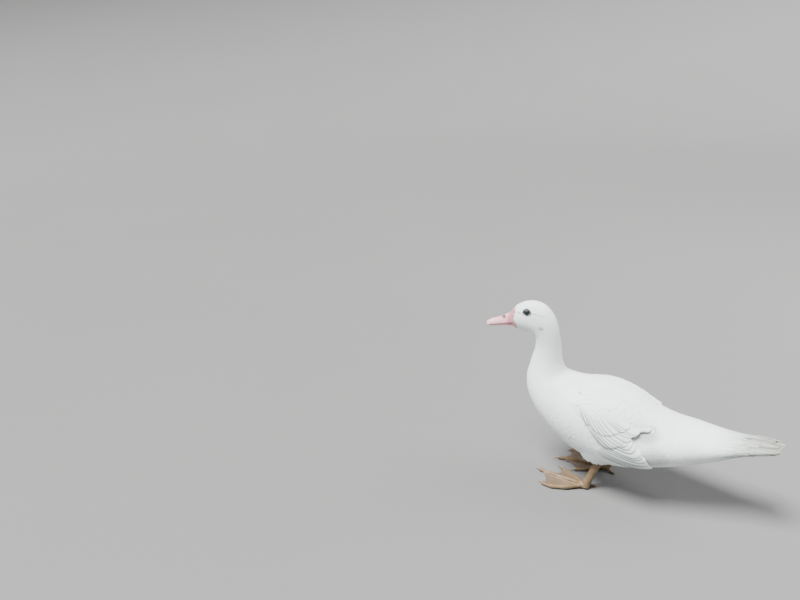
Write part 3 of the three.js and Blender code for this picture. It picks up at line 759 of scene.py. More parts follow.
def floor_paint(colours):
    """Plain matt paint with faint clouds."""
    material, shader = finish_of("floor_paint", colours.floor, 0.7)
    cloud = ramp(material, noise(material, 1.5, 3), 0.2, 0.8, 0.0, 0.25)
    colour = mixed(material, cloud, colours.floor, tuple(v * 0.9 for v in colours.floor))
    wire(material, colour, shader.inputs["Base Color"])
    return material


# The coat of the body


def feather_spacing(t):
    """How far apart the small feathers stand, along the ribs."""
    return np.interp(t, SPACING_PLACES, SPACING)


def under_wing(points):
    """Which points of the body the leaf of the wing hides."""
    angle = np.degrees(np.arctan2(np.abs(points[:, 1]), points[:, 2] - CORE_Z))
    share = (points[:, 0] - LEAF_FROM) / (LEAF_TO - LEAF_FROM)
    inside = np.clip(share, 0, 1)
    upper, lower = along(LEAF_UPPER, inside), along(LEAF_LOWER, inside)
    return (share > 0.12) & (share < 0.92) & (angle > upper + 9) & (angle < lower - 7)


def body_roots(start, end, density, rng):
    """Roots in staggered rows round the body, from one place on the ribs to another."""
    roots = []
    t = start
    row = 0
    around = np.linspace(0, 2 * np.pi, 65)
    while t < end:
        ring = body_point(np.full(65, t), around)
        girth = np.linalg.norm(np.diff(ring, axis=0), axis=1).sum()
        run = np.linalg.norm(slopes(body_point, np.array([t]), np.array([np.pi / 2]))[0])
        gap = feather_spacing(t) / density
        count = int(girth / gap)
        phi = (np.arange(count) + 0.5 * (row % 2)) / count * 2 * np.pi
        phi = phi + rng.normal(0, 0.16, count) * 2 * np.pi / count
        roots.append(np.stack([t + rng.normal(0, 0.16, count) * gap / run, phi], -1))
        t += 0.62 * gap / run
        row += 1
    return np.concatenate(roots)


def body_unwrap(t, phi):
    """The place on the unwrap of the skin, along the ribs and round them."""
    return 0.02 + 0.96 * t / (LAST_RIB + 2), 0.02 + 0.96 * ((phi / (2 * np.pi)) % 1)


def feather_line(phi):
    """Where along the ribs the feathers of the face begin."""
    from_top = np.abs((phi + np.pi) % (2 * np.pi) - np.pi) / np.pi
    return along(FEATHER_LINE, from_top) + 0.03 * np.sin(11 * phi)


def build_coat(name, start, end, density, seed, grid, material):
    """One piece of the coat, its feathers lying back along the body."""
    rng = np.random.default_rng(seed)
    roots = body_roots(start, end, density, rng)
    points = body_point(roots[:, 0], roots[:, 1])
    keep = ~under_wing(points)
    from_eye = np.hypot(points[:, 0] - EYE_PLACE.x, points[:, 2] - EYE_PLACE.z)
    size = feather_spacing(roots[:, 0])
    before_eye = points[:, 0] + 1.6 * size < EYE_PLACE.x
    keep &= from_eye > np.where(before_eye, EYE_CLEARANCE + 1.3 * size, EYE_CLEARANCE)
    keep &= roots[:, 0] > feather_line(roots[:, 1])
    roots, size = roots[keep], size[keep]
    count = len(roots)
    length = size * rng.uniform(2.3, 2.9, count)
    width = size * rng.uniform(1.45, 1.75, count)
    turn = rng.normal(0, 0.09, count)
    nape = np.exp(-(((roots[:, 0] - 6) / 2.2) ** 2)) * (np.cos(roots[:, 1]) > 0.2)
    tip = size * (0.01 + 0.03 * rng.random(count) + 0.07 * nape)
    coat = lay(
        body_point, roots[:, 0], roots[:, 1], length, width, turn, grid, seed=seed,
        unwrap=body_unwrap, root=-0.13 * size, tip=tip, camber=0.015, thick=0.00012,
    )
    piece = feather_piece(name, coat)
    return declare(piece, material)


# The wings

WING_X = np.linspace(-0.12, 0.13, 126)
WING_ANGLE = np.linspace(0, 150, 101)
CORE_STEPS = 240
CORE_SIDES = 96


def core_distances():
    """How far the body's surface is from its core, for each length and angle."""
    t = np.linspace(0, LAST_RIB, CORE_STEPS + 1)
    rings = body_point(t[:, None], all_round(CORE_SIDES)[None])
    ring = np.arange(CORE_STEPS)[:, None] * CORE_SIDES
    here = np.arange(CORE_SIDES)
    beside = (here + 1) % CORE_SIDES
    corners = (ring + here, ring + beside, ring + CORE_SIDES + beside, ring + CORE_SIDES + here)
    faces = np.stack(corners, -1).reshape(-1, 4).tolist()
    tree = BVHTree.FromPolygons(rings.reshape(-1, 3).tolist(), faces)
    table = np.empty((len(WING_X), len(WING_ANGLE)))
    for i, x in enumerate(WING_X):
        for k, angle in enumerate(np.radians(WING_ANGLE)):
            ray = Vector((0, math.sin(angle), math.cos(angle)))
            table[i, k] = tree.ray_cast(Vector((x, 0, CORE_Z)), ray)[3] or 0
    return table


CORE_DISTANCE = core_distances()


def leaf_height(x, angle):
    """How far the coverts stand off the body."""
    share = np.clip((x - LEAF_FROM) / (LEAF_TO - LEAF_FROM), 0, 1)
    upper, lower = along(LEAF_UPPER, share), along(LEAF_LOWER, share)
    across = (angle - upper) / (lower - upper)
    inside = np.clip(across, 0, 1)
    swell = np.sin(np.pi * (0.06 + 0.90 * share)) ** 0.6
    crown = np.sin(np.pi * (0.05 + 0.9 * inside)) ** 0.7
    rise = np.clip((across + 0.12) / 0.42, 0, 1)
    front = lerp(np.clip((x - LEAF_FROM + 0.006) / 0.050, 0, 1) ** 2, 1, inside)
    fade = np.exp(-((across - inside) * 5) ** 2) * rise**2 * (3 - 2 * rise) * front
    return (LEAF_EDGE + LEAF_HEIGHT * swell * crown) * fade


def step_of(scale, value):
    """Which step of an even scale a value lies in, and how far into it."""
    place = np.clip((value - scale[0]) / (scale[1] - scale[0]), 0, len(scale) - 1.001)
    return place.astype(int), place - place.astype(int)


def wing_ground(x, angle):
    """The body's right side at a length and an angle in degrees round the core."""
    i, into_x = step_of(WING_X, x)
    k, into_angle = step_of(WING_ANGLE, angle)
    before, after = (
        lerp(CORE_DISTANCE[row, k], CORE_DISTANCE[row, k + 1], into_angle) for row in (i, i + 1)
    )
    reach = lerp(before, after, into_x)
    turn = np.radians(angle)
    return np.stack([x, reach * np.sin(turn), CORE_Z + reach * np.cos(turn)], -1)


def scaled(point):
    """The same surface with its angle in radians."""
    return lambda x, b: point(x, np.degrees(b))


def wing_surface(x, angle):
    """The surface of the leaf, over the body."""
    lift = leaf_height(x, angle)
    base = wing_ground(x, angle)
    return base + outward(scaled(wing_ground), x, np.radians(angle)) * lift[..., None]


def tier_feathers(tier, side, seed):
    """The large feathers of one tier, each over the one below it."""
    count = tier["count"]
    rank = np.arange(count) / (count - 1)
    rng = np.random.default_rng(seed)
    root, tip = along(tier["root"], rank), along(tier["tip"], rank)
    tip[:, 0] += rng.normal(0, 0.0012, count)
    tip[:, 1] += rng.normal(0, 0.6, count)
    start, end = (wing_ground(place[:, 0], place[:, 1]) for place in (root, tip))
    ahead = end[:, 0] - start[:, 0]
    drop = np.linalg.norm(end[:, 1:] - start[:, 1:], axis=1) * np.sign(tip[:, 1] - root[:, 1])
    length = np.hypot(ahead, drop)
    width = lerp(*tier["width"], rank) * rng.uniform(0.95, 1.06, count)
    return lay(
        scaled(wing_ground), root[:, 0], np.radians(root[:, 1]), length, width,
        np.arctan2(drop, ahead), VANE, side, seed, root=root[:, 2], tip=tip[:, 2], rise=1.0,
        camber=0.03, thick=0.0003, roll=tier["roll"], shaft=0.00025,
    )


def covert_feathers(side, seed):
    """The small feathers of the shoulder and the front of the wing, over its leaf."""
    rng = np.random.default_rng(seed)
    lots = []
    x = LEAF_FROM - 0.004
    row = 0
    while x < LEAF_TO - 0.016:
        share = min(max((x - LEAF_FROM) / (LEAF_TO - LEAF_FROM), 0), 1)
        upper, lower = float(along(LEAF_UPPER, share)) - 9, float(along(LEAF_LOWER, share)) - 7
        gap = math.degrees(COVERT_GAP / WING_REACH)
        angle = np.arange(upper + gap * 0.5 * (row % 2), lower, gap)
        count = len(angle)
        if count:
            place = np.full(count, x) + rng.normal(0, 0.0007, count)
            angle = angle + rng.normal(0, 0.5, count)
            across = (angle - upper) / (lower - upper)
            turn = lerp(0.10, 0.55, across) + rng.normal(0, 0.05, count)
            size = lerp(0.9, 1.25, share) * rng.uniform(0.92, 1.08, count)
            lots.append((place, angle, COVERT_LENGTH * size, COVERT_WIDTH * size, turn))
        x += COVERT_STEP
        row += 1
    place, angle, length, width, turn = (np.concatenate(values) for values in zip(*lots))

    def unwrap(a, b):
        return 0.05 + 0.9 * (a - LEAF_FROM + 0.01) / 0.17, 0.05 + 0.9 * np.degrees(b) / 120

    return lay(
        scaled(wing_surface), place, np.radians(angle), length, width, turn, SMALL, side, seed,
        unwrap=unwrap, root=-0.0012, tip=0.0006, camber=0.04, thick=0.00014,
    )


def leaf_rings(side):
    """The leaf under the coverts, as closed rings from its front to its rear."""
    rings = []
    for share in np.linspace(0, 1, 40):
        x = lerp(LEAF_FROM, LEAF_TO, share)
        angles = np.linspace(along(LEAF_UPPER, share), along(LEAF_LOWER, share), 24)
        x = np.full(24, x)
        normal = outward(scaled(wing_ground), x, np.radians(angles))
        outer = wing_surface(x, angles) - normal * LEAF_SUNK
        inner = wing_ground(x, angles) - normal * LEAF_ROOTED
        rings.append(np.concatenate([outer, inner[::-1]]))
    rings = np.array(rings)
    rings[..., 1] *= side
    return rings


# The tail


def tail_sheet(x, y):
    """The sheet that the tail's feathers lie in, seen from above. Its sides droop."""
    share = (x - TAIL_ROOT_X) / TAIL_LENGTH
    rank = y / ((x - TAIL_PIVOT_X) * math.tan(TAIL_SPREAD))
    droop = TAIL_DROP * np.clip(np.abs(rank), 0, 1.2) ** 2 * lerp(0.5, 1, np.clip(share, 0, 1))
    return np.stack([x, y, lerp(TAIL_ROOT_Z, TAIL_TIP_Z, share) - droop], -1)


def tail_feathers(seed):
    """The fan, each feather over the next one outwards."""
    rng = np.random.default_rng(seed)
    rank = (np.arange(TAIL_PAIRS) + 0.5) / TAIL_PAIRS
    order = -0.0007 * np.arange(TAIL_PAIRS)
    root_x = np.full(TAIL_PAIRS, TAIL_ROOT_X)
    lots = []
    for side in (-1, 1):
        angle = side * TAIL_SPREAD * rank
        worn = rng.uniform(0, 0.003, TAIL_PAIRS)
        length = (TAIL_TIP_X - TAIL_ROUNDING * rank**1.6 - worn - root_x) / np.cos(angle)
        lots.append(
            lay(
                tail_sheet, root_x, np.tan(angle) * (root_x - TAIL_PIVOT_X), length, 0.0140, angle,
                VANE, root=order, tip=order, rise=1.0, camber=0.05, thick=0.00035,
                roll=side * 0.14, shaft=0.0003, flip=side, seed=seed + side,
            )
        )
    return gather(lots)


def tail_coverts(seed):
    """The long coverts above, beside and under the tail, in rows round its root."""
    rng = np.random.default_rng(seed)
    lots = []
    for row, t in enumerate(TAIL_COVERT_ROWS):
        count = 34 - 2 * row
        phi = (np.arange(count) + 0.5 * (row % 2) + rng.normal(0, 0.25, count)) / count * 2 * np.pi
        length = lerp(0.044, 0.033, row / 5) * rng.uniform(0.85, 1.1, count)
        width = rng.uniform(0.0070, 0.0095, count)
        turn = rng.normal(0, 0.04, count)
        lots.append(
            lay(
                body_point, t + rng.normal(0, 0.1, count), phi, length, width, turn, VANE,
                root=-0.0016, tip=0.0006, camber=0.04, thick=0.00025, shaft=0.00015,
                seed=seed + row, unwrap=body_unwrap,
            )
        )
    return gather(lots[::-1])


# Legs


def toe_line(place, side, toe, count):
    """Points along the middle of a toe, from the ankle round its bend to its end."""
    bend_angle, reach, end_angle, length, radius = TOES[toe]
    start = np.array([0, 0, 0.008 if toe == "hind" else 0.007])
    bend, end = math.radians(bend_angle), math.radians(end_angle)
    bend = np.array([-reach * math.cos(bend), side * reach * math.sin(bend), radius * 0.8])
    end = np.array([-length * math.cos(end), side * length * math.sin(end), radius * 0.62])
    share = np.linspace(0, 1, count)[:, None]
    line = start * (1 - share) ** 2 + 2 * bend * share * (1 - share) + end * share**2
    return line + np.array(place)


def web_rings(place, side, first, second, scooped):
    """A thin sheet between two toes, with a scooped front edge and soft folds."""
    line_a, line_b = toe_line(place, side, first, 61), toe_line(place, side, second, 61)
    across = np.linspace(0, 1, 19)
    rings = []
    for share in np.linspace(0.08, 0.95, 34):
        scoop = 1 - scooped * np.sin(np.pi * across) * share**3
        at = share * scoop * 60
        row = smooth(line_a, at) * (1 - across[:, None]) + smooth(line_b, at) * across[:, None]
        folds = 0.00022 * np.sin(across * 22) * np.sin(np.pi * across)
        row[:, 2] = np.maximum(row[:, 2] - 0.0012 * np.sin(np.pi * across) - 0.0006, 0.0006) + folds
        upper = row + [0, 0, 0.0005]
        lower = row - [0, 0, 0.0005]
        rings.append(np.concatenate([lower, upper[::-1]]))
    return rings


def shank_rings(place):
    """The shank, from inside the ankle up into the thigh, wider at both ends."""
    height = np.linspace(0.004, HOCK_Z + 0.024, 30)
    back = HOCK_BACK * (height - 0.003) / (HOCK_Z - 0.003)
    line = np.stack([place.x + back, np.full(30, place.y), height], -1)
    rings = round_tube(line, SHANK_RADIUS * (1 + 0.42 * np.linspace(-1, 1, 30) ** 4), 24)
    rings[..., 0] += 0.16 * (rings[..., 0] - line[:, None, 0])
    return rings


def build_leg(label, colours):
    """The shank, the toes and the webs of one leg, melted into one surface."""
    side, place = FEET[label]
    parts = []
    share = np.linspace(0, 1, 40)
    knuckles = 1 + 0.11 * np.cos(share * 6 * np.pi) - 0.24 * share
    for toe, (_, _, _, _, radius) in TOES.items():
        rings = round_tube(toe_line(place, side, toe, 40), radius * knuckles, 20)
        parts.append(tube_piece("toe_" + toe, rings))
    parts.append(tube_piece("web_outer", web_rings(place, side, "outer", "middle", 0.14)))
    parts.append(tube_piece("web_inner", web_rings(place, side, "middle", "inner", 0.26)))
    parts.append(ball_piece("pad", place + PAD_PLACE, PAD_RADII))
    ankle = np.linspace(*ANKLE_HEIGHTS, 8)
    line = np.stack([place.x + 0.18 * ankle, np.full(8, place.y), ankle], -1)
    parts.append(tube_piece("ankle", round_tube(line, np.linspace(*ANKLE_RADII, 8), 24)))
    parts.append(tube_piece("shank", shank_rings(place)))
    leg = join_pieces("leg_" + label, parts)
    apply_modifier(leg, "REMESH", mode="VOXEL", voxel_size=MELT_SIZE)
    apply_modifier(leg, "SMOOTH", factor=0.5, iterations=5)
    place_all(leg, lambda points: np.maximum(points, [-9, -9, 0]))
    soften(leg, 60)
    scales = leg_scales(colours, label, place)
    return declare(leg, scales, ("shank_" + label, "foot_" + label))


def build_claws(label, material):
    """The four claws of one foot, each curved down to its point."""
    side, place = FEET[label]
    claws = []
    for toe, (_, _, _, _, radius) in TOES.items():
        line = toe_line(place, side, toe, 40)
        start = line[-1].copy()
        start[2] = radius * 0.85
        ahead = line[-1] - line[-2]
        ahead[2] = 0
        ahead /= np.linalg.norm(ahead)
        scale = 0.6 if toe == "hind" else 1
        length = CLAW_LENGTH * scale
        start -= ahead * 0.0028
        share = np.linspace(0, 1, 16)[:, None]
        bend = start + ahead * length * 0.6 + [0, 0, 0.0014]
        end = start + ahead * (length + 0.0025)
        end[2] = 0.0009
        points = start * (1 - share) ** 2 + 2 * bend * share * (1 - share) + end * share**2
        radii = scale * lerp(0.0023, 0.0003, share[:, 0])
        claws.append(tube_piece("claw", round_tube(points, radii, 14)))
    piece = join_pieces("claws_" + label, claws)
    soften(piece, 50)
    return declare(piece, material, ["claw_" + label + "_" + toe for toe in TOES])


def thigh_surface(label):
    """The feathered thigh, from the hip down to the hock."""
    place = FEET[label][1]
    hock = np.array([place.x + HOCK_BACK, place.y, HOCK_Z])
    hip = np.array([hock[0] - 0.002, hock[1] * 1.02, HIP_Z])

    def point(a, b):
        share = 1 - np.asarray(a)
        middle = hock + (hip - hock) * share[..., None]
        reach = lerp(0.0095, 0.034, np.sin(np.clip(share, 0, 1) * np.pi / 2) ** 1.15)
        ring = np.stack([reach * 1.2 * np.cos(b), reach * 0.8 * np.sin(b), 0 * reach], -1)
        return middle + ring

    return point


def thigh_feathers(label, seed):
    """Small feathers in rows down the thigh, shorter towards the hock."""
    rng = np.random.default_rng(seed)
    point = thigh_surface(label)
    lots = []
    for row, a in enumerate(np.arange(0.02, 0.62, 0.05)):
        count = int(lerp(46, 18, a))
        b = (np.arange(count) + 0.5 * (row % 2)) / count * 2 * np.pi + rng.normal(0, 0.02, count)
        down = np.full(count, a) + rng.normal(0, 0.006, count)
        lots.append((down, b, np.full(count, lerp(0.013, 0.0058, a))))
    a, b, length = (np.concatenate(values) for values in zip(*lots))

    def unwrap(a, b):
        return 0.05 + 0.9 * a, 0.02 + 0.96 * ((b / (2 * np.pi)) % 1)

    return lay(
        point, a, b, length, length * 0.6, rng.normal(0, 0.1, len(a)), SMALL, seed=seed,
        unwrap=unwrap, root=-0.0008, tip=0.0005, camber=0.05, thick=0.00012,
    )


# The head


def lid_ring(side):
    """The lids, from the opening of the eye out to the feathers of the face."""
    turn = all_round(48)
    circle = np.stack([np.cos(turn), np.sin(turn)], -1)
    ball = 0.00625
    rings = []
    for share in np.linspace(0, 1, 9):
        flat = circle * lerp(LID_OPENING, LID_OUTLINE, share)
        radius = np.hypot(flat[:, 0], flat[:, 1])
        dome = EYE_PLACE.y + np.sqrt(np.maximum(ball**2 - radius**2, 0))
        head = 0.0199 + 0.10 * flat[:, 0]
        rise = 0.0007 * np.sin(np.pi * min(share * 1.6, 1))
        depth = lerp(dome + 0.0004, head, np.clip(share * 1.15, 0, 1)) + rise
        rings.append(np.stack([EYE_PLACE.x + flat[:, 0], depth, EYE_PLACE.z + flat[:, 1]], -1))
    rings.append(rings[-1] - [0, 0.0022, 0])
    return np.array(rings) * [1, side, 1]


def bill_half(upper):
    """The rings of the upper or the lower bill, from its root to its tip."""
    tables = (BILL_RIDGE, BILL_MOUTH, BILL_UNDER, BILL_HALF)
    turn = np.linspace(0, np.pi, 31)
    inner = np.linspace(-0.86, 0.86, 13) if upper else np.linspace(-0.9, 0.9, 13)
    rings = []
    for share in 1 - np.linspace(1, 0, 44) ** 1.25:
        x = lerp(BILL_ROOT_X + 0.0035, BILL_TIP_X if upper else BILL_TIP_X + 0.0045, share)
        at = share if upper else share * 0.93
        ridge, mouth, under, half = (float(along(table, at)) for table in tables)
        from_tip = (1 - share) / 0.15
        end = math.sqrt(max(1 - max(1 - from_tip, 0) ** 2, 0.002))
        if upper:
            rise = np.power(np.sin(turn), lerp(1.25, 0.8, share))
            arch = lerp(mouth + 0.00015, ridge, 0.08 + 0.92 * rise)
            arch = lerp(mouth + 0.0004, arch, end**0.8)
            floor = mouth + 0.001 * (1 - inner**2)
        else:
            half *= 0.86
            arch = lerp(mouth - 0.0005, under, np.power(np.sin(turn), 0.7))
            floor = np.full(13, mouth - 0.0006)
        across = half * end * np.concatenate([np.cos(turn), inner])
        rings.append(np.stack([np.full(44, x), across, np.concatenate([arch, floor])], -1))
    return np.array(rings)


def sink_nostrils(points):
    """Presses the two nostrils into the bill, with a low rim round each."""
    offset = points - [NOSTRIL.x, 0, NOSTRIL.z]
    distance = np.sqrt((offset[:, 0] / 0.0036) ** 2 + (offset[:, 2] / 0.0019) ** 2)
    side = np.sign(points[:, 1]) * (np.abs(points[:, 1]) > 0.002)
    depth = -0.0021 * np.exp(-(distance**2) * 1.4) + 0.0005 * np.exp(-((distance - 1.5) ** 2) * 5)
    changed = points.copy()
    changed[:, 1] += side * depth
    return changed


def face_rings():
    """The bare skin between the bill and the feathers, swelling into small bulbs."""
    rng = np.random.default_rng(11)
    t = np.linspace(0.01, FACE_END + 0.25, 60)
    grid_t, grid_phi = np.meshgrid(t, all_round(120), indexing="ij")
    rings = body_point(grid_t, grid_phi)
    normal = outward(body_point, grid_t, grid_phi)
    lift = np.zeros(grid_t.shape)
    for _ in range(BULBS):
        at_t, at_phi = rng.uniform(0.12, FACE_END), rng.uniform(0, 2 * np.pi)
        place = body_point(np.array(at_t), np.array(at_phi))
        size = rng.uniform(*BULB_SIZES)
        distance = np.linalg.norm(rings - place, axis=-1)
        lift = np.maximum(lift, size * 0.55 * np.exp(-((distance / size) ** 2)))
    bare = np.clip((feather_line(grid_phi) + 0.10 - grid_t) / 0.12, 0, 1)
    sunk = (1 - bare) * 0.0006 + np.clip((grid_t - FACE_END + 0.05) / 0.2, 0, 1) * 0.0009
    return rings + normal * (lift * bare * np.clip(grid_t / 0.12, 0, 1) - sunk)[..., None]


# Settings


class DuckSizes(bpy.types.PropertyGroup):
    """Sizes of the duck's coat and eyes."""

    skin_depth: bpy.props.FloatProperty(
        name="Skin depth", description="How far the skin lies under the coat", default=0.0012,
        unit="LENGTH",
    )
    density: bpy.props.FloatProperty(
        name="Feather density", description="How close the small feathers stand", default=1.0,
        min=0.3, max=1.4,
    )
    eye_radius: bpy.props.FloatProperty(
        name="Eye radius", description="Radius of the eyeball", default=0.0061, unit="LENGTH",
    )


def colour_setting(name, description, value):
    """A colour that the panel shows."""
    return bpy.props.FloatVectorProperty(
        name=name, description=description, default=value, size=3, min=0, max=1, subtype="COLOR"
    )


class DuckColours(bpy.types.PropertyGroup):
    """Colours of the duck and of its floor."""

    plumage: colour_setting("Plumage", "White of the feathers", (0.85, 0.905, 0.898))
    plumage_shade: colour_setting("Shaded plumage", "Cooler white of some", (0.68, 0.775, 0.765))
    # The beige of the soiled tail is also the tint of the painted shade on the body.
    soil_and_painted_shade: colour_setting("Stain", "Beige of the soiled tail", (0.17, 0.175, 0.135))
    gap: colour_setting("Gap", "Shade between the large feathers", (0.11, 0.13, 0.125))
    lid: colour_setting("Lid", "Dark skin of the lids", (0.035, 0.035, 0.036))
    ear: colour_setting("Ear", "Grey round the ear and behind the eye", (0.22, 0.22, 0.22))
    bill: colour_setting("Bill", "Pale pink of the bill", (0.8, 0.43, 0.47))
    bill_blush: colour_setting("Bill blush", "Deeper pink of the bill", (0.72, 0.33, 0.37))
    nail: colour_setting("Nail", "Pale tip of the bill", (0.8, 0.52, 0.53))
    nostril: colour_setting("Nostril", "Dark of the nostrils", (0.03, 0.012, 0.012))
    caruncle: colour_setting("Caruncle", "Pink of the bare skin", (0.52, 0.2, 0.23))
    iris: colour_setting("Iris", "Grey blue of the eye", (0.028, 0.034, 0.042))
    iris_dark: colour_setting("Dark iris", "Rim of the iris", (0.012, 0.014, 0.017))
    pupil: colour_setting("Pupil", "Dark middle of the eye", (0.004, 0.004, 0.005))
    leg: colour_setting("Leg", "Ochre of the legs", (0.15, 0.092, 0.04))
    leg_pale: colour_setting("Pale leg", "Paler scales of the legs", (0.21, 0.145, 0.078))
    leg_dark: colour_setting("Dark leg", "Flecks and seams of the scales", (0.07, 0.035, 0.02))
    web: colour_setting("Web", "Grey pink of the webs", (0.125, 0.09, 0.073))
    claw: colour_setting("Claw", "Horn of the claws", (0.38, 0.3, 0.22))
    floor: colour_setting("Floor", "Pale floor", (0.17, 0.17, 0.168))


class StageSettings(bpy.types.PropertyGroup):
    """The camera's place and the lights."""

    lens: bpy.props.FloatProperty(
        name="Lens", description="Focal length in millimetres, 36 mm wide", default=28.125
    )
    eye_point: bpy.props.FloatVectorProperty(
        name="Camera place", description="Where the camera stands",
        default=(0.1107, -1.0702, 0.770), subtype="TRANSLATION", unit="LENGTH",
    )
    view: bpy.props.FloatVectorProperty(
        name="View", description="Where the camera looks",
        default=(-0.4368, 0.8215, -0.3665), subtype="DIRECTION",
    )
    brightness: bpy.props.FloatProperty(
        name="Brightness", description="Scales every lamp", default=1.0, min=0.1, max=4
    )


# Operators


class DUCK_OT_skin(bpy.types.Operator):
    """One skin for head, neck, body and thighs, under the coat"""

    bl_idname = "duck.skin"
    bl_label = "Skin"

    def execute(self, context):
        sizes, colours = context.scene.duck_sizes, context.scene.duck_colours
        t = np.linspace(FACE_END - 0.05, LAST_RIB, 190)
        grid_t, grid_phi = np.meshgrid(t, all_round(72), indexing="ij")
        depth = np.minimum(sizes.skin_depth, 0.28 * feather_spacing(grid_t))[..., None]
        normal = outward(body_point, grid_t, grid_phi)
        skin = tube_piece("plumage_skin", body_point(grid_t, grid_phi) - normal * depth)
        for label in FEET:
            point = thigh_surface(label)
            a, b = np.meshgrid(np.linspace(0.0, 0.68, 18), all_round(36), indexing="ij")
            thigh = tube_piece("thigh", point(a, b) - outward(point, a, b) * sizes.skin_depth)
            apply_modifier(skin, "BOOLEAN", operation="UNION", object=thigh, solver="EXACT")
            bpy.data.objects.remove(thigh)
        soften(skin, 60)
        # The skin carries the painted shade under the wings and low on the body.
        down = plumage("skin_down", colours, barbs=False, marks_and_painted_shade=PLUMAGE_MARKS_AND_SHADE)
        declare(skin, down, FLESH_NODES)
        return {"FINISHED"}


class DUCK_OT_coat(bpy.types.Operator):
    """Small feathers over the head, the neck, the body and the thighs"""

    bl_idname = "duck.coat"
    bl_label = "Coat"

    def execute(self, context):
        # The coat carries the painted shade under the wings and low on the body.
        material = plumage("contour_feathers", context.scene.duck_colours, marks_and_painted_shade=PLUMAGE_MARKS_AND_SHADE)
        density = context.scene.duck_sizes.density
        lots = {
            "coat_head": (0.55, 5.0, TINY),
            "coat_neck": (5.0, 9.5, TINY),
            "coat_breast": (9.5, 13.0, SMALL),
            "coat_body": (13.0, 16.5, SMALL),
            "coat_rump": (16.5, 19.3, SMALL),
        }
        for seed, (name, (start, end, grid)) in enumerate(lots.items()):
            build_coat(name, start, end, density, 20 + seed, grid, material)
        for seed, label in enumerate(FEET):
            piece = feather_piece("coat_thigh_" + label, thigh_feathers(label, 40 + seed))
            declare(piece, material)
        return {"FINISHED"}


class DUCK_OT_wings(bpy.types.Operator):
    """Flight feathers and coverts of both wings, in their tiers"""

    bl_idname = "duck.wings"
    bl_label = "Wings"

    def execute(self, context):
        colours = context.scene.duck_colours
        material = plumage("wing_feathers", colours, lined=0.85, uneven=0.5)
        smooth_feathers = plumage("shoulder_feathers", colours, marks_and_painted_shade=(FLECK,))
        down = plumage("wing_down", colours, barbs=False)
        for label, (side, _) in FEET.items():
            base = tube_piece("wing_leaf_" + label, leaf_rings(side))
            soften(base, 60)
            declare(base, down, ("wing_" + label,))
            for seed, (name, tier) in enumerate(WING_TIERS.items(), 60 + side):
                coat = tier_feathers(tier, side, seed)
                declare(feather_piece(name + "_" + label, coat), material)
            coverts = feather_piece("lesser_coverts_" + label, covert_feathers(side, 70 + side))
            declare(coverts, smooth_feathers)
        return {"FINISHED"}


class DUCK_OT_tail(bpy.types.Operator):
    """The fan of the tail and the coverts above and below it"""

    bl_idname = "duck.tail"
    bl_label = "Tail"

    def execute(self, context):
        colours = context.scene.duck_colours
        material = plumage("tail_feathers", colours, lined=0.7, uneven=0.5)
        soft_feathers = plumage("tail_covert_feathers", colours, lined=0.5, uneven=0.5)
        declare(feather_piece("tail_fan", tail_feathers(80)), material, ("tail",))
        declare(feather_piece("tail_coverts", tail_coverts(90)), soft_feathers)
        return {"FINISHED"}


class DUCK_OT_bill(bpy.types.Operator):
    """Both halves of the bill, with its nail and nostrils"""

    bl_idname = "duck.bill"
    bl_label = "Bill"

    def execute(self, context):
        material = bill_horn(context.scene.duck_colours)
        upper = tube_piece("bill_upper_horn", bill_half(True))
        place_all(upper, sink_nostrils)
        nail = ball_piece("nail", (BILL_TIP_X + 0.0047, 0, 0.2833), (0.0047, 0.0048, 0.0036))
        upper = join_pieces("bill_upper_horn", [upper, nail])
        lower = tube_piece("bill_lower_horn", bill_half(False))
        for piece, solid in ((upper, "bill_upper"), (lower, "bill_lower")):
            soften(piece, 50)
            declare(piece, material, (solid,))
        return {"FINISHED"}


class DUCK_OT_face(bpy.types.Operator):
    """The bare skin round the root of the bill"""

    bl_idname = "duck.face"
    bl_label = "Face"

    def execute(self, context):
        face = tube_piece("caruncled_face", face_rings())
        soften(face, 60)
        colours = context.scene.duck_colours
        material = bare_skin("caruncle_skin", colours.caruncle, colours.bill)
        declare(face, material, ("face_skin",))
        return {"FINISHED"}


class DUCK_OT_eyes(bpy.types.Operator):
    """The eyes and their lids"""

    bl_idname = "duck.eyes"
    bl_label = "Eyes"

    def execute(self, context):
        colours = context.scene.duck_colours
        radius = context.scene.duck_sizes.eye_radius
        gloss, lid = eye_gloss(colours), bare_skin("lid_skin", colours.lid, colours.ear)
        for label, (side, _) in FEET.items():
            place = (EYE_PLACE.x, side * EYE_PLACE.y, EYE_PLACE.z)
            eye = ball_piece("eyeball_" + label, place, (radius, radius, radius), 48, 32)
            soften(eye, 60)
            declare(eye, gloss, ("eye_" + label,))
            lids = tube_piece("lids_" + label, lid_ring(side))
            soften(lids, 60)
            declare(lids, lid)
        return {"FINISHED"}


class DUCK_OT_legs(bpy.types.Operator):
    """Shanks, webbed feet and claws"""

    bl_idname = "duck.legs"
    bl_label = "Legs"

    def execute(self, context):
        colours = context.scene.duck_colours
        horn = claw_horn(colours)
        for label in FEET:
            build_leg(label, colours)
            build_claws(label, horn)
        return {"FINISHED"}


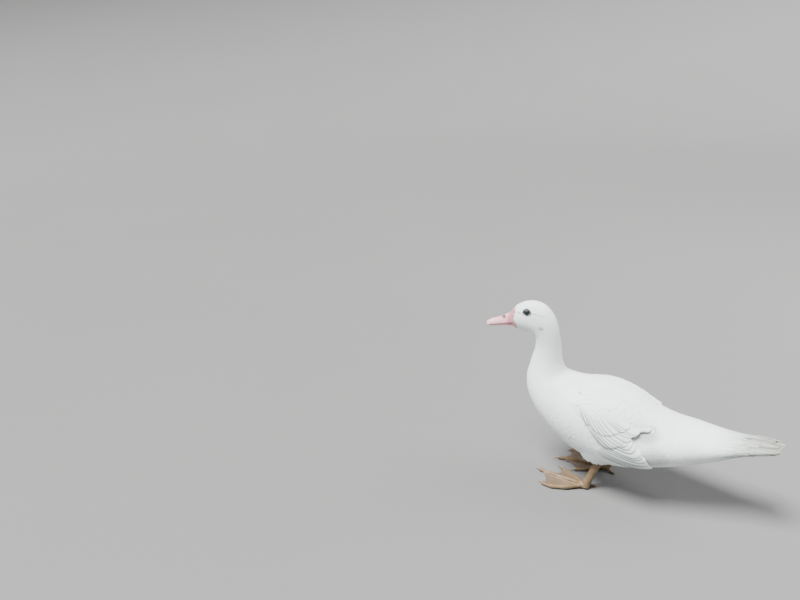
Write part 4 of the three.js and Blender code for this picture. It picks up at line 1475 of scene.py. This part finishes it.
class DUCK_OT_stage(bpy.types.Operator):
    """Floor, lights and camera"""

    bl_idname = "duck.stage"
    bl_label = "Stage"

    def execute(self, context):
        stage = context.scene.duck_stage
        bpy.ops.object.select_all(action="DESELECT")
        bpy.ops.mesh.primitive_circle_add(
            vertices=96, radius=FLOOR_REACH, fill_type="NGON", location=(0, 0, -0.0002)
        )
        floor = bpy.context.object
        floor.name = "floor"
        bpy.ops.object.transform_apply(location=True)
        bpy.ops.object.mode_set(mode="EDIT")
        bpy.ops.mesh.select_mode(type="EDGE")
        bpy.ops.mesh.select_all(action="SELECT")
        reach, height = FLOOR_REACH, 0.0
        for turn in np.radians(np.arange(9, 91, 9)):
            ring, rise = FLOOR_REACH + RIM * math.sin(turn), RIM * (1 - math.cos(turn))
            wider = (ring / reach, ring / reach, 1)
            bpy.ops.mesh.extrude_edges_move(TRANSFORM_OT_translate={"value": (0, 0, rise - height)})
            bpy.ops.transform.resize(value=wider, center_override=(0, 0, 0))
            reach, height = ring, rise
        bpy.ops.mesh.select_mode(type="VERT")
        bpy.ops.mesh.select_all(action="SELECT")
        bpy.ops.mesh.normals_make_consistent(inside=True)
        bpy.ops.object.mode_set(mode="OBJECT")
        soften(floor, 60)
        floor.data.materials.append(floor_paint(context.scene.duck_colours))
        bpy.ops.object.light_add(type="SUN", location=KEY_PLACE)
        key = bpy.context.object
        key.name = "key_lamp"
        key.data.energy = KEY_POWER * stage.brightness
        key.data.angle = KEY_ANGLE
        key.rotation_euler = KEY_DIRECTION.to_track_quat("-Z", "Y").to_euler()
        for name, (place, size, power) in SOFT_LAMPS.items():
            bpy.ops.object.light_add(type="AREA", location=place)
            lamp = bpy.context.object
            lamp.name = name + "_lamp"
            lamp.data.size = size
            lamp.data.energy = power * stage.brightness
            aim = LAMP_AIM - Vector(place)
            lamp.rotation_euler = aim.to_track_quat("-Z", "Y").to_euler()
        world = context.scene.world or bpy.data.worlds.new("studio")
        context.scene.world = world
        world.use_nodes = True
        background = world.node_tree.nodes["Background"]
        background.inputs["Color"].default_value = (0.86, 0.88, 0.90, 1)
        background.inputs["Strength"].default_value = 0.32
        bpy.ops.object.camera_add(location=tuple(stage.eye_point))
        camera = bpy.context.object
        camera.rotation_euler = Vector(stage.view).to_track_quat("-Z", "Y").to_euler()
        camera.data.sensor_width = 36
        camera.data.lens = stage.lens
        context.scene.camera = camera
        return {"FINISHED"}


OPERATORS = (
    DUCK_OT_skin,
    DUCK_OT_coat,
    DUCK_OT_wings,
    DUCK_OT_tail,
    DUCK_OT_bill,
    DUCK_OT_face,
    DUCK_OT_eyes,
    DUCK_OT_legs,
    DUCK_OT_stage,
)


class DUCK_PT_panel(bpy.types.Panel):
    """The duck's sizes, colours and pieces"""

    bl_idname = "DUCK_PT_panel"
    bl_label = "Muscovy duck"
    bl_space_type = "VIEW_3D"
    bl_region_type = "UI"
    bl_category = "Duck"

    def draw(self, context):
        for setting, group in SETTINGS.items():
            box = self.layout.box()
            for key in group.__annotations__:
                box.prop(getattr(context.scene, setting), key)
        for operator in OPERATORS:
            self.layout.operator(operator.bl_idname)


SETTINGS = {"duck_sizes": DuckSizes, "duck_colours": DuckColours, "duck_stage": StageSettings}


def register():
    """Makes the classes and the settings known."""
    for made in (*SETTINGS.values(), *OPERATORS, DUCK_PT_panel):
        bpy.utils.register_class(made)
    for key, group in SETTINGS.items():
        setattr(bpy.types.Scene, key, bpy.props.PointerProperty(type=group))


def unregister():
    """Takes the classes and the settings away again."""
    for key in SETTINGS:
        delattr(bpy.types.Scene, key)
    for made in reversed((*SETTINGS.values(), *OPERATORS, DUCK_PT_panel)):
        bpy.utils.unregister_class(made)


def main():
    """Builds every piece in order."""
    register()
    for operator in OPERATORS:
        group, name = operator.bl_idname.split(".")
        getattr(getattr(bpy.ops, group), name)()


if __name__ == "__main__":
    main()
